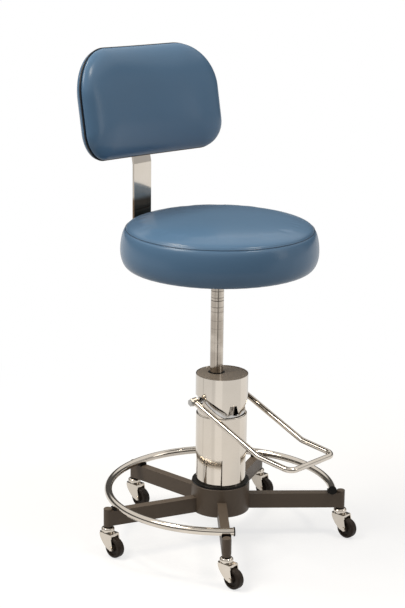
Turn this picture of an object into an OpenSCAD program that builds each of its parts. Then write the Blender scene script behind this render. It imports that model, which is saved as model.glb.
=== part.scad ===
// Foot-operated hydraulic medical stool with a round seat, a backrest and five casters.
// Millimetres, +Z up. The origin is on the floor, under the axis of the column covers.
// The front is -Y: the foot bar reaches forward and the backrest stands behind.

/* [Base] */
// Gap between the hub's bore and the inner sleeve
gasket_wall = 3.2; // [2:0.1:5]
// Wall of the hub
hub_wall = 6; // [5:0.5:8]
// Height of the hub
hub_h = 61; // [55:0.5:70]
// Distance from the column axis to each caster stem
caster_reach = 255.7; // [235:0.1:280]
// Angle between the front direction and the two front arms
front_arm_angle = 45; // [40:1:50]
// Width of an arm's tube
arm_w = 19; // [16:0.5:22]
// Height of an arm's tube
arm_h = 32; // [26:0.5:36]
// Wall of an arm's tube
arm_wall = 2; // [1.5:0.1:3]
// Height of the arms above the hub's underside
arm_lift = 1.5; // [0.5:0.1:4]
// Outer radius of a caster socket
socket_r = 9; // [8.5:0.1:11]
// Length of a caster socket
socket_len = 38.9; // [35:0.1:42]
// How far a socket stands above its arm
socket_proud = 4.7; // [3:0.1:7]
// Height of the rubber ring above the hub
gasket_h = 5; // [3:0.1:7]
// Thickness of the plate that closes the hub
base_plate_t = 8; // [6:0.5:10]

/* [Foot ring] */
// How far the foot ring lies inside the caster stems
ring_inset = 19.1; // [18:0.1:34]
// Outer radius of the foot ring's tube
ring_tube_r = 8; // [7:0.1:9]
// Wall of the foot ring's tube
ring_wall = 1.5; // [1:0.1:2]
// Half of the angle left open at the front
ring_gap_angle = 41.5; // [36:0.1:42]
// Thickness of a pad under the ring
pad_t = 1.5; // [1:0.1:3]
// Thickness of an end cap's flange
cap_t = 2.5; // [1.5:0.1:4]

/* [Column] */
// Room between the barrel's boss and the inner sleeve
boss_room = 4.4; // [3.4:0.1:6]
// Wall of the slotted inner sleeve
inner_sleeve_wall = 1.5; // [1:0.1:2]
// Wall of the lower sleeve
lower_sleeve_wall = 1.2; // [0.8:0.1:1.5]
// Length of the lower sleeve's tongue
tongue_len = 57.3; // [40:0.1:75]
// Height of the lower sleeve above its tongue
lower_sleeve_h = 91; // [80:0.5:97]
// Direction of the lower sleeve's tongue, from the front
tongue_turn = -20.9; // [-40:0.1:40]
// Angle that the lower sleeve's tongue spans
tongue_span = 47.4; // [30:0.1:60]
// Wall of the upper cover
upper_cover_wall = 0.9; // [0.7:0.1:1.2]
// Height of the upper cover's rim above the lower sleeve
cover_rise = 84; // [76:0.5:96]
// How far the arch's half width is greater than the cover's radius
arch_over = 1.1; // [0.5:0.1:3]
// Height of the arch that frees the foot bar's yoke
arch_h = 60; // [56:0.5:64]
// How far the arch's crown is below the cover's rim
arch_drop = 43.1; // [40:0.1:47]
// Turn of the arch from the foot bar's plane
arch_turn = -18; // [-24:1:24]
// Turn of the notch from the foot bar's plane
notch_turn = -21.6; // [-28:0.1:28]
// How far the notch's top edge is below the arch's crown
notch_drop = 14.2; // [10:0.1:22]

/* [Hydraulics] */
// How far the ram's axis is behind the covers' axis
ram_offset = 16.1; // [10:0.1:20]
// Radius of the ram
ram_r = 13.46; // [12:0.01:15]
// Gap between the ram and the barrel's bore
oil_room = 3.54; // [3:0.01:4.5]
// Wall of the cylinder barrel
barrel_wall = 5; // [4:0.1:6]
// Radius of the pump's plunger
plunger_r = 5; // [4:0.1:5.5]
// Radius of the pivot pins
pin_r = 5; // [4:0.1:5.5]
// How far the foot bar's pivot is in front of the ram's axis
pivot_set = 1.2; // [0:0.1:3]
// How far the foot bar's pivot is below the arch's crown
pivot_drop = 7.6; // [3:0.1:10]

/* [Foot bar] */
// Radius of the foot bar's rod
bar_rod_r = 6; // [5:0.1:7]
// Gap between the upper cover and a side rod's centreline
bar_side_gap = 13.9; // [11.6:0.1:22]
// Distance from the covers' axis forward to the bend of the side rods
bar_bend_y = 162.2; // [140:0.1:180]
// How far the bend of the side rods is below the pivot
bend_drop = 73.8; // [60:0.1:90]
// Distance from the bend forward to the foot bar's front rod
bar_front_len = 84.7; // [60:0.1:110]
// How far the front rod is below the bend of the side rods
front_drop = 9.6; // [0:0.1:20]
// Bend radius of the two front corners
bar_corner_r = 17; // [12:0.5:30]

/* [Seat] */
// Largest radius of the seat cushion
seat_r = 203.2; // [190:0.1:220]
// How far the seam lies inside the seat's largest radius
seam_inset = 10.2; // [4:0.1:18]
// Length of ram that shows between the cover and the seat
ram_exposed = 226; // [218:0.5:240]
// Height of the seam above the cushion's underside
seat_seam_h = 79.5; // [60:0.5:90]
// Height of the crown above the seam
seat_crown = 24; // [14:0.5:30]
// How far the seat board's edge lies inside the cushion's underside
board_inset = 12; // [6:0.5:34]
// Thickness of the seat board
seat_board_t = 14; // [10:0.5:18]

/* [Back] */
// Width of the flat strap
strap_w = 50.8; // [38:0.1:60]
// Thickness of the flat strap
strap_t = 5; // [4:0.1:6]
// How far behind the seat the strap stands
strap_gap = 13.2; // [8.7:0.1:31]
// Half of the backrest's width
back_half_w = 197.2; // [170:0.1:220]
// Half of the backrest's height
back_half_h = 112.4; // [95:0.1:130]
// Radius of the backrest's upper corners
back_top_r = 97.5; // [60:0.5:105]
// Radius of the backrest's lower corners
back_low_r = 54.5; // [40:0.5:90]
// How far the backrest's middle lies behind the strap's front face
back_set = 2.5; // [0:0.1:6]
// Height of the backrest's middle above the seat cushion's underside
back_rise = 316; // [292:0.5:342]
// Backward tilt of the backrest
back_tilt = 11.6; // [8:0.1:18]
// Sideways lean of the backrest
back_lean = 1.8; // [-4:0.1:4]
// Depth of the back cushion in front of the welt
back_cushion_d = 38; // [28:0.5:45]
// Depth of the back shell behind the welt
back_shell_d = 21; // [16:0.5:26]
// Radius of the welt
welt_r = 1.6; // [1:0.1:2]

/* [Casters] */
// Radius of a caster wheel
wheel_r = 21.3; // [20:0.1:22.5]
// Width of a wheel's tread
wheel_w = 17.5; // [15:0.1:18.5]
// Distance that a wheel trails behind its stem
caster_trail = 20; // [17:0.1:22]
// Gap between the wheel and a cheek of the fork
wheel_side_gap = 1.55; // [1:0.05:3]
// Gap between the wheel and the fork's crown
crown_gap = 4.5; // [4:0.1:7]
// Sheet thickness of the fork
fork_t = 2.2; // [1.8:0.1:2.6]
// Radius of the wheel's axle
axle_r = 3; // [2.5:0.1:3.5]

/* [Hidden] */
$fn = 64;

// Clearances: fixed neighbours, running fits, soft neighbours and moving neighbours
fix_gap = 0.1;
run_gap = 0.05;
soft_gap = 0.3;
move_gap = 0.5;
// Overrun of every cut past the face that it opens
over = 1;

// Colours of the finishes
paint = [0.30, 0.26, 0.22];
chrome = [0.82, 0.78, 0.73];
steel = [0.62, 0.61, 0.60];
bronze = [0.72, 0.55, 0.33];
black = [0.07, 0.07, 0.07];
vinyl = [0.27, 0.37, 0.47];
plywood = [0.74, 0.60, 0.42];
wheel_brown = [0.15, 0.13, 0.12];

// Points on an arc round [cx, cy] from angle a0 to a1
function arc(cx, cy, r, a0, a1, n) =
    [for (i = [0:n]) let (a = a0 + (a1 - a0) * i / n) [cx + r * cos(a), cy + r * sin(a)]];

right_angle = 90;
half_turn = 180;
full_turn = 360;

// Five arms: two at the front, two at the sides, one at the back
arm_step = (full_turn - 2 * front_arm_angle) / 4;
arm_angles = [for (i = [0:4]) front_arm_angle + i * arm_step];

// Heights of the base, from the wheels up
crown_boss_h = 3.1;
crown_t = 3.5;
race_gap = 0.8;
race_h = 7;
bushing_flange_t = 1.6;
crown_z = 2 * wheel_r + crown_gap;
crown_top = crown_z + crown_t + crown_boss_h;
race_z = crown_top + race_gap;
bushing_z = race_z + race_h + fix_gap;
socket_z = bushing_z + bushing_flange_t + fix_gap;
socket_top = socket_z + socket_len;
arm_top = socket_top - socket_proud;
arm_z = arm_top - arm_h;
hub_z = arm_z - arm_lift;
hub_top = hub_z + hub_h;
ring_z = arm_top + pad_t + ring_tube_r;

// Radii of the base and the column, from the ram out
barrel_boss_wall = 8;
barrel_r = ram_r + oil_room + barrel_wall;
pivot_y = ram_offset - pivot_set;
inner_sleeve_r = ram_offset + barrel_r + barrel_boss_wall + boss_room + inner_sleeve_wall;
hub_bore_r = inner_sleeve_r + gasket_wall;
hub_r = hub_bore_r + hub_wall;
ring_r = caster_reach - ring_inset;

// A piece drawn towards +X is turned to an angle counted from the front
module at_front_angle(a) {
    rotate([0, 0, a - right_angle]) children();
}

// A piece drawn on the stem axis is set at every caster
module at_casters() {
    for (a = arm_angles) at_front_angle(a) translate([caster_reach, 0, 0]) children();
}

// Hub: a heavy tube with chamfered rims
hub_chamfer = 1;
module hub() {
    color(paint) rotate_extrude() polygon([
        [hub_bore_r, hub_z], [hub_r - hub_chamfer, hub_z], [hub_r, hub_z + hub_chamfer],
        [hub_r, hub_top - hub_chamfer], [hub_r - hub_chamfer, hub_top], [hub_bore_r, hub_top]
    ]);
}

// Arms: rectangular tube, coped to the hub and to the sockets
screw_r = 2.5;
screw_hole_r = screw_r + fix_gap;
module arms() {
    color(paint) for (a = arm_angles) at_front_angle(a) difference() {
        translate([0, -arm_w / 2, arm_z]) cube([caster_reach, arm_w, arm_h]);
        translate([0, -arm_w / 2 + arm_wall, arm_z + arm_wall])
            cube([caster_reach, arm_w - 2 * arm_wall, arm_h - 2 * arm_wall]);
        translate([0, 0, arm_z - over]) cylinder(r = hub_r + fix_gap, h = arm_h + 2 * over);
        translate([caster_reach, 0, arm_z - over])
            cylinder(r = socket_r + fix_gap, h = arm_h + 2 * over);
        translate([ring_r, 0, arm_top - arm_wall - over])
            cylinder(r = screw_hole_r, h = arm_wall + 2 * over);
    }
}

// Caster sockets: blind tubes at the arms' ends
stem_r = 4;
bushing_wall = 1.5;
socket_bore_r = stem_r + bushing_wall + 2 * fix_gap;
socket_roof = 4;
socket_chamfer = 1;
module caster_sockets() {
    color(paint) at_casters() rotate_extrude() polygon([
        [socket_bore_r, socket_z], [socket_r, socket_z], [socket_r, socket_top - socket_chamfer],
        [socket_r - socket_chamfer, socket_top], [0, socket_top], [0, socket_top - socket_roof],
        [socket_bore_r, socket_top - socket_roof]
    ]);
}

// Stem bushings: black sleeves with a flange under each socket
bushing_flange_r = socket_r - socket_chamfer / 2;
bushing_len = socket_len - 2 * socket_roof;
module stem_bushings() {
    color(black) at_casters() difference() {
        union() {
            translate([0, 0, bushing_z]) cylinder(r = bushing_flange_r, h = bushing_flange_t);
            translate([0, 0, bushing_z])
                cylinder(r = stem_r + fix_gap + bushing_wall, h = bushing_len);
        }
        translate([0, 0, bushing_z - over])
            cylinder(r = stem_r + fix_gap, h = bushing_len + 2 * over);
    }
}

// Caster stems: each with its domed race and the rivet that holds the fork
race_r = 14;
race_round = 4.4;
crown_boss_r = 13.2;
rivet_r = 6.5;
rivet_h = 2.4;
rivet_z = crown_z - move_gap - rivet_h;
stem_top = socket_top - socket_roof - fix_gap - crown_t;
module caster_stems() {
    color(chrome) at_casters() rotate_extrude() polygon(concat(
        [[0, rivet_z], [rivet_r - rivet_h / 3, rivet_z], [rivet_r, rivet_z + rivet_h / 3],
         [rivet_r, rivet_z + rivet_h], [stem_r, rivet_z + rivet_h], [stem_r, race_z],
         [race_r, race_z]],
        arc(race_r - race_round, race_z + race_h - race_round, race_round, 0, right_angle, 6),
        [[stem_r, race_z + race_h], [stem_r, stem_top], [0, stem_top]]
    ));
}

// Base plate: closes the hub and carries the cylinder barrel and the pump
boss_h = 20;
base_plate_z = hub_z + arm_lift;
base_plate_top = base_plate_z + base_plate_t;
boss_top = base_plate_top + boss_h;
pump_y = 30;
pump_wall = 4;
pump_r = plunger_r + run_gap + pump_wall;
pump_boss_wall = 5;
pocket_depth = 16;
pocket_z = boss_top - pocket_depth;
module base_plate() {
    color(steel) difference() {
        union() {
            translate([0, 0, base_plate_z]) cylinder(r = hub_bore_r - fix_gap, h = base_plate_t);
            translate([0, ram_offset, base_plate_z])
                cylinder(r = barrel_r + barrel_boss_wall, h = base_plate_t + boss_h);
            translate([0, -pump_y, base_plate_z])
                cylinder(r = pump_r + pump_boss_wall, h = base_plate_t + boss_h);
            translate([-pump_r, -pump_y, base_plate_z])
                cube([2 * pump_r, pump_y, base_plate_t + boss_h]);
        }
        translate([0, ram_offset, pocket_z]) cylinder(r = barrel_r + fix_gap, h = pocket_depth + over);
        translate([0, -pump_y, pocket_z]) cylinder(r = pump_r + fix_gap, h = pocket_depth + over);
    }
}

// Rubber ring between the hub and the inner sleeve
gasket_r = hub_r - hub_chamfer;
gasket_skirt = 8;
gasket_round = 1.8;
gasket_top = hub_top + fix_gap + gasket_h;
module hub_gasket() {
    color(black) rotate_extrude() polygon(concat(
        [[inner_sleeve_r + fix_gap, hub_top - gasket_skirt],
         [hub_bore_r - fix_gap, hub_top - gasket_skirt],
         [hub_bore_r - fix_gap, hub_top + fix_gap], [gasket_r, hub_top + fix_gap]],
        arc(gasket_r - gasket_round, gasket_top - gasket_round, gasket_round, 0, right_angle, 6),
        [[inner_sleeve_r + fix_gap, gasket_top]]
    ));
}

// Heights of the column, from the gasket up
tongue_z = gasket_top + fix_gap;
lower_sleeve_z = tongue_z + tongue_len;
lower_sleeve_top = lower_sleeve_z + lower_sleeve_h;
cover_top = lower_sleeve_top + cover_rise;
arch_crown = cover_top - arch_drop;
notch_top = arch_crown - notch_drop;
pivot_z = arch_crown - pivot_drop;
bar_bend_z = pivot_z - bend_drop;
bar_front_z = bar_bend_z - front_drop;
bar_front_y = bar_bend_y + bar_front_len;
seat_z = cover_top + ram_exposed;

// Inner sleeve: split into spring fingers by upright slits
// Above them a thinner collar rises inside the cover, cut on a slope below the yoke, with a
// hole for each of the yoke's eyes
yoke_tilt = 36.7;
yoke_low = 4.7;
collar_rise = 4;
sleeve_collar_wall = 1.2;
collar_hole_r = 9.5;
slit_w = 1.5;
slit_count = 8;
sleeve_overlap = 45;
inner_sleeve_z = base_plate_top + fix_gap;
inner_sleeve_top = lower_sleeve_z + sleeve_overlap;
slit_top = lower_sleeve_z + sleeve_overlap / 3;
slit_half = tongue_span / 2 + asin(slit_w / inner_sleeve_r / 2);
slit_step = (full_turn - 2 * slit_half) / (slit_count - 1);
sleeve_collar_r = inner_sleeve_r - inner_sleeve_wall + fix_gap;
sleeve_collar_bore = sleeve_collar_r - sleeve_collar_wall;
sleeve_collar_z = inner_sleeve_top - sleeve_overlap / 3;
sleeve_collar_top = arch_crown + collar_rise;
module sleeve_collar() {
    difference() {
        translate([0, 0, sleeve_collar_z])
            cylinder(r = sleeve_collar_r, h = sleeve_collar_top - sleeve_collar_z);
        translate([0, 0, sleeve_collar_z - over])
            cylinder(r = sleeve_collar_bore, h = sleeve_collar_top - sleeve_collar_z + 2 * over);
        translate([0, pivot_y, pivot_z]) rotate([yoke_tilt, 0, 0])
            translate([-2 * sleeve_collar_r, -4 * sleeve_collar_r, yoke_low])
                cube([4 * sleeve_collar_r, 4 * sleeve_collar_r, 4 * sleeve_collar_r]);
        translate([-sleeve_collar_r - over, pivot_y, pivot_z]) rotate([0, right_angle, 0])
            cylinder(r = collar_hole_r, h = 2 * (sleeve_collar_r + over));
    }
}
module inner_sleeve() {
    color(chrome) {
        sleeve_collar();
        finger_sleeve();
    }
}
module finger_sleeve() {
    difference() {
        translate([0, 0, inner_sleeve_z])
            cylinder(r = inner_sleeve_r, h = inner_sleeve_top - inner_sleeve_z);
        translate([0, 0, inner_sleeve_z - over])
            cylinder(r = inner_sleeve_r - inner_sleeve_wall,
                     h = inner_sleeve_top - inner_sleeve_z + 2 * over);
        for (i = [0:slit_count - 1])
            at_front_angle(tongue_turn + slit_half + i * slit_step)
                translate([0, -slit_w / 2, inner_sleeve_z - over])
                    cube([inner_sleeve_r + over, slit_w, slit_top - inner_sleeve_z + over]);
    }
}

// Lower sleeve: a tube with a rounded top lip and one long tongue that reaches the hub
lower_inner_r = inner_sleeve_r + fix_gap;
lower_sleeve_r = lower_inner_r + lower_sleeve_wall;
lip_round = 2.4;
module lower_sleeve() {
    color(chrome) {
        rotate_extrude() polygon(concat(
            [[lower_inner_r, lower_sleeve_z], [lower_sleeve_r, lower_sleeve_z]],
            arc(lower_sleeve_r - lip_round, lower_sleeve_top - lip_round, lip_round,
                0, right_angle, 8),
            arc(lower_sleeve_r - lip_round, lower_sleeve_top - lip_round,
                lip_round - lower_sleeve_wall, right_angle, 0, 8)
        ));
        rotate([0, 0, tongue_turn - tongue_span / 2 - right_angle])
            rotate_extrude(angle = tongue_span)
                translate([lower_inner_r, tongue_z])
                    square([lower_sleeve_wall, lower_sleeve_z - tongue_z]);
    }
}

// Upper cover: a can with arched sides, a notched front tongue and a hole for each pivot pin
cover_inner_r = lower_sleeve_r + 2 * fix_gap;
cover_r = cover_inner_r + upper_cover_wall;
arch_z = arch_crown - arch_h;
cover_low = arch_z;
arch_power = 2.5;
arch_points = 24;
arch_half_w = cover_r + arch_over;
notch_half_top = 7.5;
notch_low_left = 9;
notch_low_right = 16;
notch_low = arch_z + arch_h / 4;
pin_hole_r = pin_r + 3 * move_gap;
module arch_side() {
    polygon(concat(
        [[arch_half_w, -over], [arch_half_w, 0]],
        [for (i = [1:arch_points - 1]) let (a = half_turn * i / arch_points)
            [sign(cos(a)) * arch_half_w * pow(abs(cos(a)), 2 / arch_power),
             arch_h * pow(sin(a), 2 / arch_power)]],
        [[-arch_half_w, 0], [-arch_half_w, -over]]
    ));
}
module upper_cover() {
    color(chrome) difference() {
        translate([0, 0, cover_low]) cylinder(r = cover_r, h = cover_top - cover_low);
        translate([0, 0, cover_low - over])
            cylinder(r = cover_inner_r, h = cover_top - cover_low + 2 * over);
        rotate([right_angle, 0, right_angle + arch_turn])
            translate([0, arch_z, -cover_r - over]) linear_extrude(2 * (cover_r + over)) arch_side();
        rotate([0, 0, notch_turn]) rotate([right_angle, 0, 0])
            linear_extrude(cover_r + over) polygon([
                [-notch_half_top, notch_top], [notch_half_top, notch_top],
                [notch_low_right, notch_low], [notch_low_right, cover_low - over],
                [-notch_low_left, cover_low - over], [-notch_low_left, notch_low]
            ]);
        translate([-cover_r - over, pivot_y, pivot_z]) rotate([0, right_angle, 0])
            cylinder(r = pin_hole_r, h = 2 * (cover_r + over));
    }
}

// Heights at the top of the column
gland_flange_t = 4;
cover_plate_t = 3;
plate_recess = 1.2;
cover_plate_z = cover_top - plate_recess - cover_plate_t;
gland_top = cover_plate_z - fix_gap;
barrel_top = gland_top - gland_flange_t - fix_gap;
barrel_z = pocket_z + fix_gap;
wiper_wall = 4;
wiper_r = ram_r + wiper_wall;

// Cover plate: polished disc sunk into the cover's rim
module cover_plate() {
    color(paint) difference() {
        translate([0, 0, cover_plate_z]) cylinder(r = cover_inner_r - fix_gap, h = cover_plate_t);
        translate([0, ram_offset, cover_plate_z - over])
            cylinder(r = wiper_r + fix_gap, h = cover_plate_t + 2 * over);
    }
}

// Wiper ring: rubber, round the ram in the cover plate
module wiper_ring() {
    color(black) translate([0, ram_offset, cover_plate_z]) difference() {
        cylinder(r = wiper_r, h = cover_plate_t);
        translate([0, 0, -over]) cylinder(r = ram_r + run_gap, h = cover_plate_t + 2 * over);
    }
}

// Cylinder barrel: stands in the base plate's pocket
module cylinder_barrel() {
    color(steel) translate([0, ram_offset, barrel_z]) difference() {
        cylinder(r = barrel_r, h = barrel_top - barrel_z);
        translate([0, 0, barrel_wall])
            cylinder(r = barrel_r - barrel_wall, h = barrel_top - barrel_z);
    }
}

// Gland: guides the ram and closes the barrel
gland_len = 26;
module gland() {
    color(bronze) translate([0, ram_offset, 0]) difference() {
        union() {
            translate([0, 0, barrel_top + fix_gap]) cylinder(r = barrel_r, h = gland_flange_t);
            translate([0, 0, barrel_top - gland_len])
                cylinder(r = barrel_r - barrel_wall - fix_gap, h = gland_len + 2 * fix_gap);
        }
        translate([0, 0, barrel_top - gland_len - over])
            cylinder(r = ram_r + run_gap, h = gland_len + gland_flange_t + 2 * over);
    }
}

// Oil seal: under the gland
seal_h = 7;
seal_z = barrel_top - gland_len - fix_gap - seal_h;
module oil_seal() {
    color(black) translate([0, ram_offset, seal_z]) difference() {
        cylinder(r = barrel_r - barrel_wall - fix_gap, h = seal_h);
        translate([0, 0, -over]) cylinder(r = ram_r + run_gap, h = seal_h + 2 * over);
    }
}

// Yoke's place: a band in a plane that slopes down to the front, above the pins
yoke_h = 9;
yoke_t = 2.6;
yoke_r = sleeve_collar_bore - move_gap;
tab_drop = 42;
tab_t = 4;
tab_half_w = 7;
tab_inner_y = 25;

// Pump: cylinder, plunger with a domed head, and the spring that lifts it
pump_len = 148;
plunger_head_z = pivot_z - tab_drop - move_gap;
plunger_len = 88;
plunger_collar_wall = 3.4;
collar_r = plunger_r + plunger_collar_wall;
collar_t = 3;
collar_z = plunger_head_z - plunger_r - collar_t - over;
pump_top = pocket_z + pump_len;
module pump_cylinder() {
    color(steel) translate([0, -pump_y, pocket_z + fix_gap]) difference() {
        cylinder(r = pump_r, h = pump_len - fix_gap);
        translate([0, 0, pump_wall]) cylinder(r = plunger_r + run_gap, h = pump_len);
    }
}

module plunger() {
    color(steel) translate([0, -pump_y, 0]) {
        translate([0, 0, plunger_head_z - plunger_len])
            cylinder(r = plunger_r, h = plunger_len - plunger_r);
        translate([0, 0, collar_z]) cylinder(r = collar_r, h = collar_t);
        translate([0, 0, plunger_head_z - plunger_r]) sphere(r = plunger_r);
    }
}

// Pump spring: one unbroken wire of eight curls, swept along a helix
wire_r = 0.9;
spring_room = 1.3;
spring_r = plunger_r + wire_r + spring_room;
spring_curls = 8;
rings_per_curl = 8;
wire_sides = 6;
spring_z0 = pump_top + soft_gap + wire_r;
spring_z1 = collar_z - soft_gap - wire_r;
spring_pitch = (spring_z1 - spring_z0) / spring_curls;
spring_rings = spring_curls * rings_per_curl;
function helix_at(i) = let (a = full_turn * i / rings_per_curl)
    [spring_r * cos(a), spring_r * sin(a), spring_z0 + spring_pitch * i / rings_per_curl];
function wire_point(i, j) =
    let (a = full_turn * i / rings_per_curl, b = full_turn * j / wire_sides,
         slope = atan(spring_pitch / (2 * PI * spring_r)), c = helix_at(i),
         out = [cos(a), sin(a), 0], up = [sin(a) * sin(slope), -cos(a) * sin(slope), cos(slope)])
    c + wire_r * (cos(b) * out + sin(b) * up);
least_spring_gap = min([for (i = [0:rings_per_curl / 2])
    norm(helix_at(i + rings_per_curl) - helix_at(0))]) - 2 * wire_r;
echo(least_spring_gap = least_spring_gap);
module pump_spring() {
    points = [for (i = [0:spring_rings]) for (j = [0:wire_sides - 1]) wire_point(i, j)];
    last = spring_rings * wire_sides;
    sides = [for (i = [0:spring_rings - 1]) for (j = [0:wire_sides - 1])
        let (k = (j + 1) % wire_sides, a = i * wire_sides)
        each [[a + j, a + wire_sides + k, a + wire_sides + j], [a + j, a + k, a + wire_sides + k]]];
    start_cap = [for (j = [1:wire_sides - 2]) [0, j + 1, j]];
    end_cap = [for (j = [1:wire_sides - 2]) [last, last + j, last + j + 1]];
    color(steel) translate([0, -pump_y, 0])
        polyhedron(points = points, faces = concat(sides, start_cap, end_cap));
}

// Pivot bearing: a collar on the barrel with a bored boss on each side
bearing_r = 9;
bearing_reach = 42;
collar_wall = 3;
bearing_collar_h = 2 * bearing_r;
pin_inner_x = barrel_r + collar_wall;
module pivot_bearing() {
    color(steel) difference() {
        union() {
            translate([0, ram_offset, pivot_z - bearing_r])
                cylinder(r = barrel_r + fix_gap + collar_wall, h = bearing_collar_h);
            translate([-bearing_reach, pivot_y, pivot_z]) rotate([0, right_angle, 0])
                cylinder(r = bearing_r, h = 2 * bearing_reach);
        }
        translate([0, ram_offset, pivot_z - bearing_r - over])
            cylinder(r = barrel_r + fix_gap, h = bearing_collar_h + 2 * over);
        translate([-bearing_reach - over, pivot_y, pivot_z]) rotate([0, right_angle, 0])
            cylinder(r = pin_r + run_gap, h = 2 * (bearing_reach + over));
    }
}

// Foot ring: a chromed tube, open at the front, on a pad and a screw at each arm
ring_sweep = full_turn - 2 * ring_gap_angle;
screw_head_r = 4.5;
screw_head_h = 2.5;
screw_top = arm_top + pad_t + ring_wall + 3 * over;
module foot_ring() {
    color(chrome) difference() {
        rotate([0, 0, ring_gap_angle - right_angle]) rotate_extrude(angle = ring_sweep)
            translate([ring_r, ring_z]) difference() {
                circle(r = ring_tube_r);
                circle(r = ring_tube_r - ring_wall);
            }
        for (a = arm_angles) at_front_angle(a)
            translate([ring_r, 0, arm_top]) cylinder(r = screw_hole_r, h = ring_tube_r);
    }
}

// Ring end caps: a plug and a black flange in each open end
cap_plug = 8;
cap_lip = 1.2;
module ring_end_cap() {
    rotate([right_angle, 0, 0]) {
        translate([0, 0, fix_gap]) cylinder(r = ring_tube_r + cap_lip, h = cap_t);
        translate([0, 0, -cap_plug])
            cylinder(r = ring_tube_r - ring_wall - 3 * fix_gap, h = cap_plug + fix_gap + cap_t / 2);
    }
}
module ring_end_caps() {
    color(black) {
        rotate([0, 0, ring_gap_angle - right_angle])
            translate([ring_r, 0, ring_z]) ring_end_cap();
        mirror([1, 0, 0]) rotate([0, 0, ring_gap_angle - right_angle])
            translate([ring_r, 0, ring_z]) ring_end_cap();
    }
}

// Ring pads: black saddles between the ring and the arms
pad_len = 18;
pad_saddle = 2.5;
module ring_pads() {
    color(black) difference() {
        for (a = arm_angles) at_front_angle(a) difference() {
            translate([ring_r - pad_len / 2, -arm_w / 2, arm_top + fix_gap])
                cube([pad_len, arm_w, pad_t + pad_saddle]);
            translate([ring_r, 0, arm_top]) cylinder(r = screw_hole_r, h = ring_tube_r);
        }
        rotate_extrude() translate([ring_r, ring_z]) circle(r = ring_tube_r + fix_gap);
    }
}

// Ring screws: up through the arm's top wall and the pad into the ring
module ring_screws() {
    color(steel) for (a = arm_angles) at_front_angle(a) translate([ring_r, 0, 0]) {
        translate([0, 0, arm_top - arm_wall - fix_gap - screw_head_h])
            cylinder(r = screw_head_r, h = screw_head_h);
        translate([0, 0, arm_top - arm_wall - fix_gap - screw_head_h])
            cylinder(r = screw_r, h = screw_top - arm_top + arm_wall + fix_gap + screw_head_h);
    }
}

// Radii of the seat
seat_tuck = 9;
lip_w = 20;
seat_seam_r = seat_r - seam_inset;
seat_low_r = seat_seam_r - seat_tuck;
seat_board_r = seat_low_r - board_inset;
lip_inner_r = seat_board_r - lip_w;

// Heights under the seat
lip_t = 3;
board_z = seat_z + lip_t + soft_gap;
board_top = board_z + seat_board_t;
plate_room = 32;
seat_plate_r = lip_inner_r - plate_room;
seat_plate_t = 4;
seat_plate_z = board_z - fix_gap - seat_plate_t;
seat_hub_len = 42;
seat_hub_wall = 5;
bush_wall = 3.5;
seat_hub_z = seat_plate_z - seat_hub_len;
seat_hub_r = ram_r + run_gap + bush_wall + fix_gap + seat_hub_wall;
ram_top = seat_plate_z - 2 * move_gap;

// Ram with its piston and seal, shown near the top of its stroke
ram_inside = 72;
ram_z = cover_top - ram_inside;
piston_h = 12;
piston_r = barrel_r - barrel_wall - run_gap;
spigot_r = 9;
seal_groove = 2.4;
seal_ring_h = 4;
module ram() {
    color(chrome) translate([0, ram_offset, 0]) {
        translate([0, 0, ram_z]) cylinder(r = ram_r, h = ram_top - ram_z);
        translate([0, 0, ram_z - piston_h]) cylinder(r = spigot_r, h = piston_h + over);
    }
}
module piston() {
    color(bronze) translate([0, ram_offset, ram_z - piston_h]) rotate_extrude() polygon([
        [spigot_r + fix_gap, 0], [piston_r, 0], [piston_r, (piston_h - seal_ring_h) / 2],
        [piston_r - seal_groove, (piston_h - seal_ring_h) / 2],
        [piston_r - seal_groove, (piston_h + seal_ring_h) / 2],
        [piston_r, (piston_h + seal_ring_h) / 2], [piston_r, piston_h - fix_gap],
        [spigot_r + fix_gap, piston_h - fix_gap]
    ]);
}
module piston_seal() {
    color(black) translate([0, ram_offset, ram_z - piston_h / 2 - seal_ring_h / 2 + fix_gap])
        rotate_extrude() translate([piston_r - seal_groove + fix_gap, 0])
            square([seal_groove - fix_gap, seal_ring_h - 2 * fix_gap]);
}

// Swivel bush and seat hub: turn together on the ram's head
module swivel_bush() {
    color(bronze) translate([0, ram_offset, seat_hub_z]) difference() {
        cylinder(r = ram_r + run_gap + bush_wall, h = seat_hub_len - 2 * move_gap);
        translate([0, 0, -over]) cylinder(r = ram_r + run_gap, h = seat_hub_len + 2 * over);
    }
}
hub_flange_r = 46;
rib_count = 4;
rib_t = 4;
module seat_hub() {
    color(steel) translate([0, ram_offset, 0]) difference() {
        union() {
            translate([0, 0, seat_hub_z])
                cylinder(r = seat_hub_r, h = seat_hub_len - fix_gap);
            translate([0, 0, seat_plate_z - fix_gap - rib_t])
                cylinder(r = hub_flange_r, h = rib_t);
            for (i = [0:rib_count - 1])
                rotate([0, 0, front_arm_angle + i * full_turn / rib_count])
                    rotate([right_angle, 0, 0]) translate([0, 0, -rib_t / 2])
                        linear_extrude(rib_t) polygon([
                            [0, seat_hub_z + seat_hub_len / 3],
                            [seat_hub_r, seat_hub_z + seat_hub_len / 3],
                            [hub_flange_r, seat_plate_z - fix_gap - rib_t],
                            [0, seat_plate_z - fix_gap - rib_t]
                        ]);
        }
        translate([0, 0, seat_hub_z - over])
            cylinder(r = ram_r + run_gap + bush_wall + fix_gap, h = seat_hub_len + 2 * over);
    }
}

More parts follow.
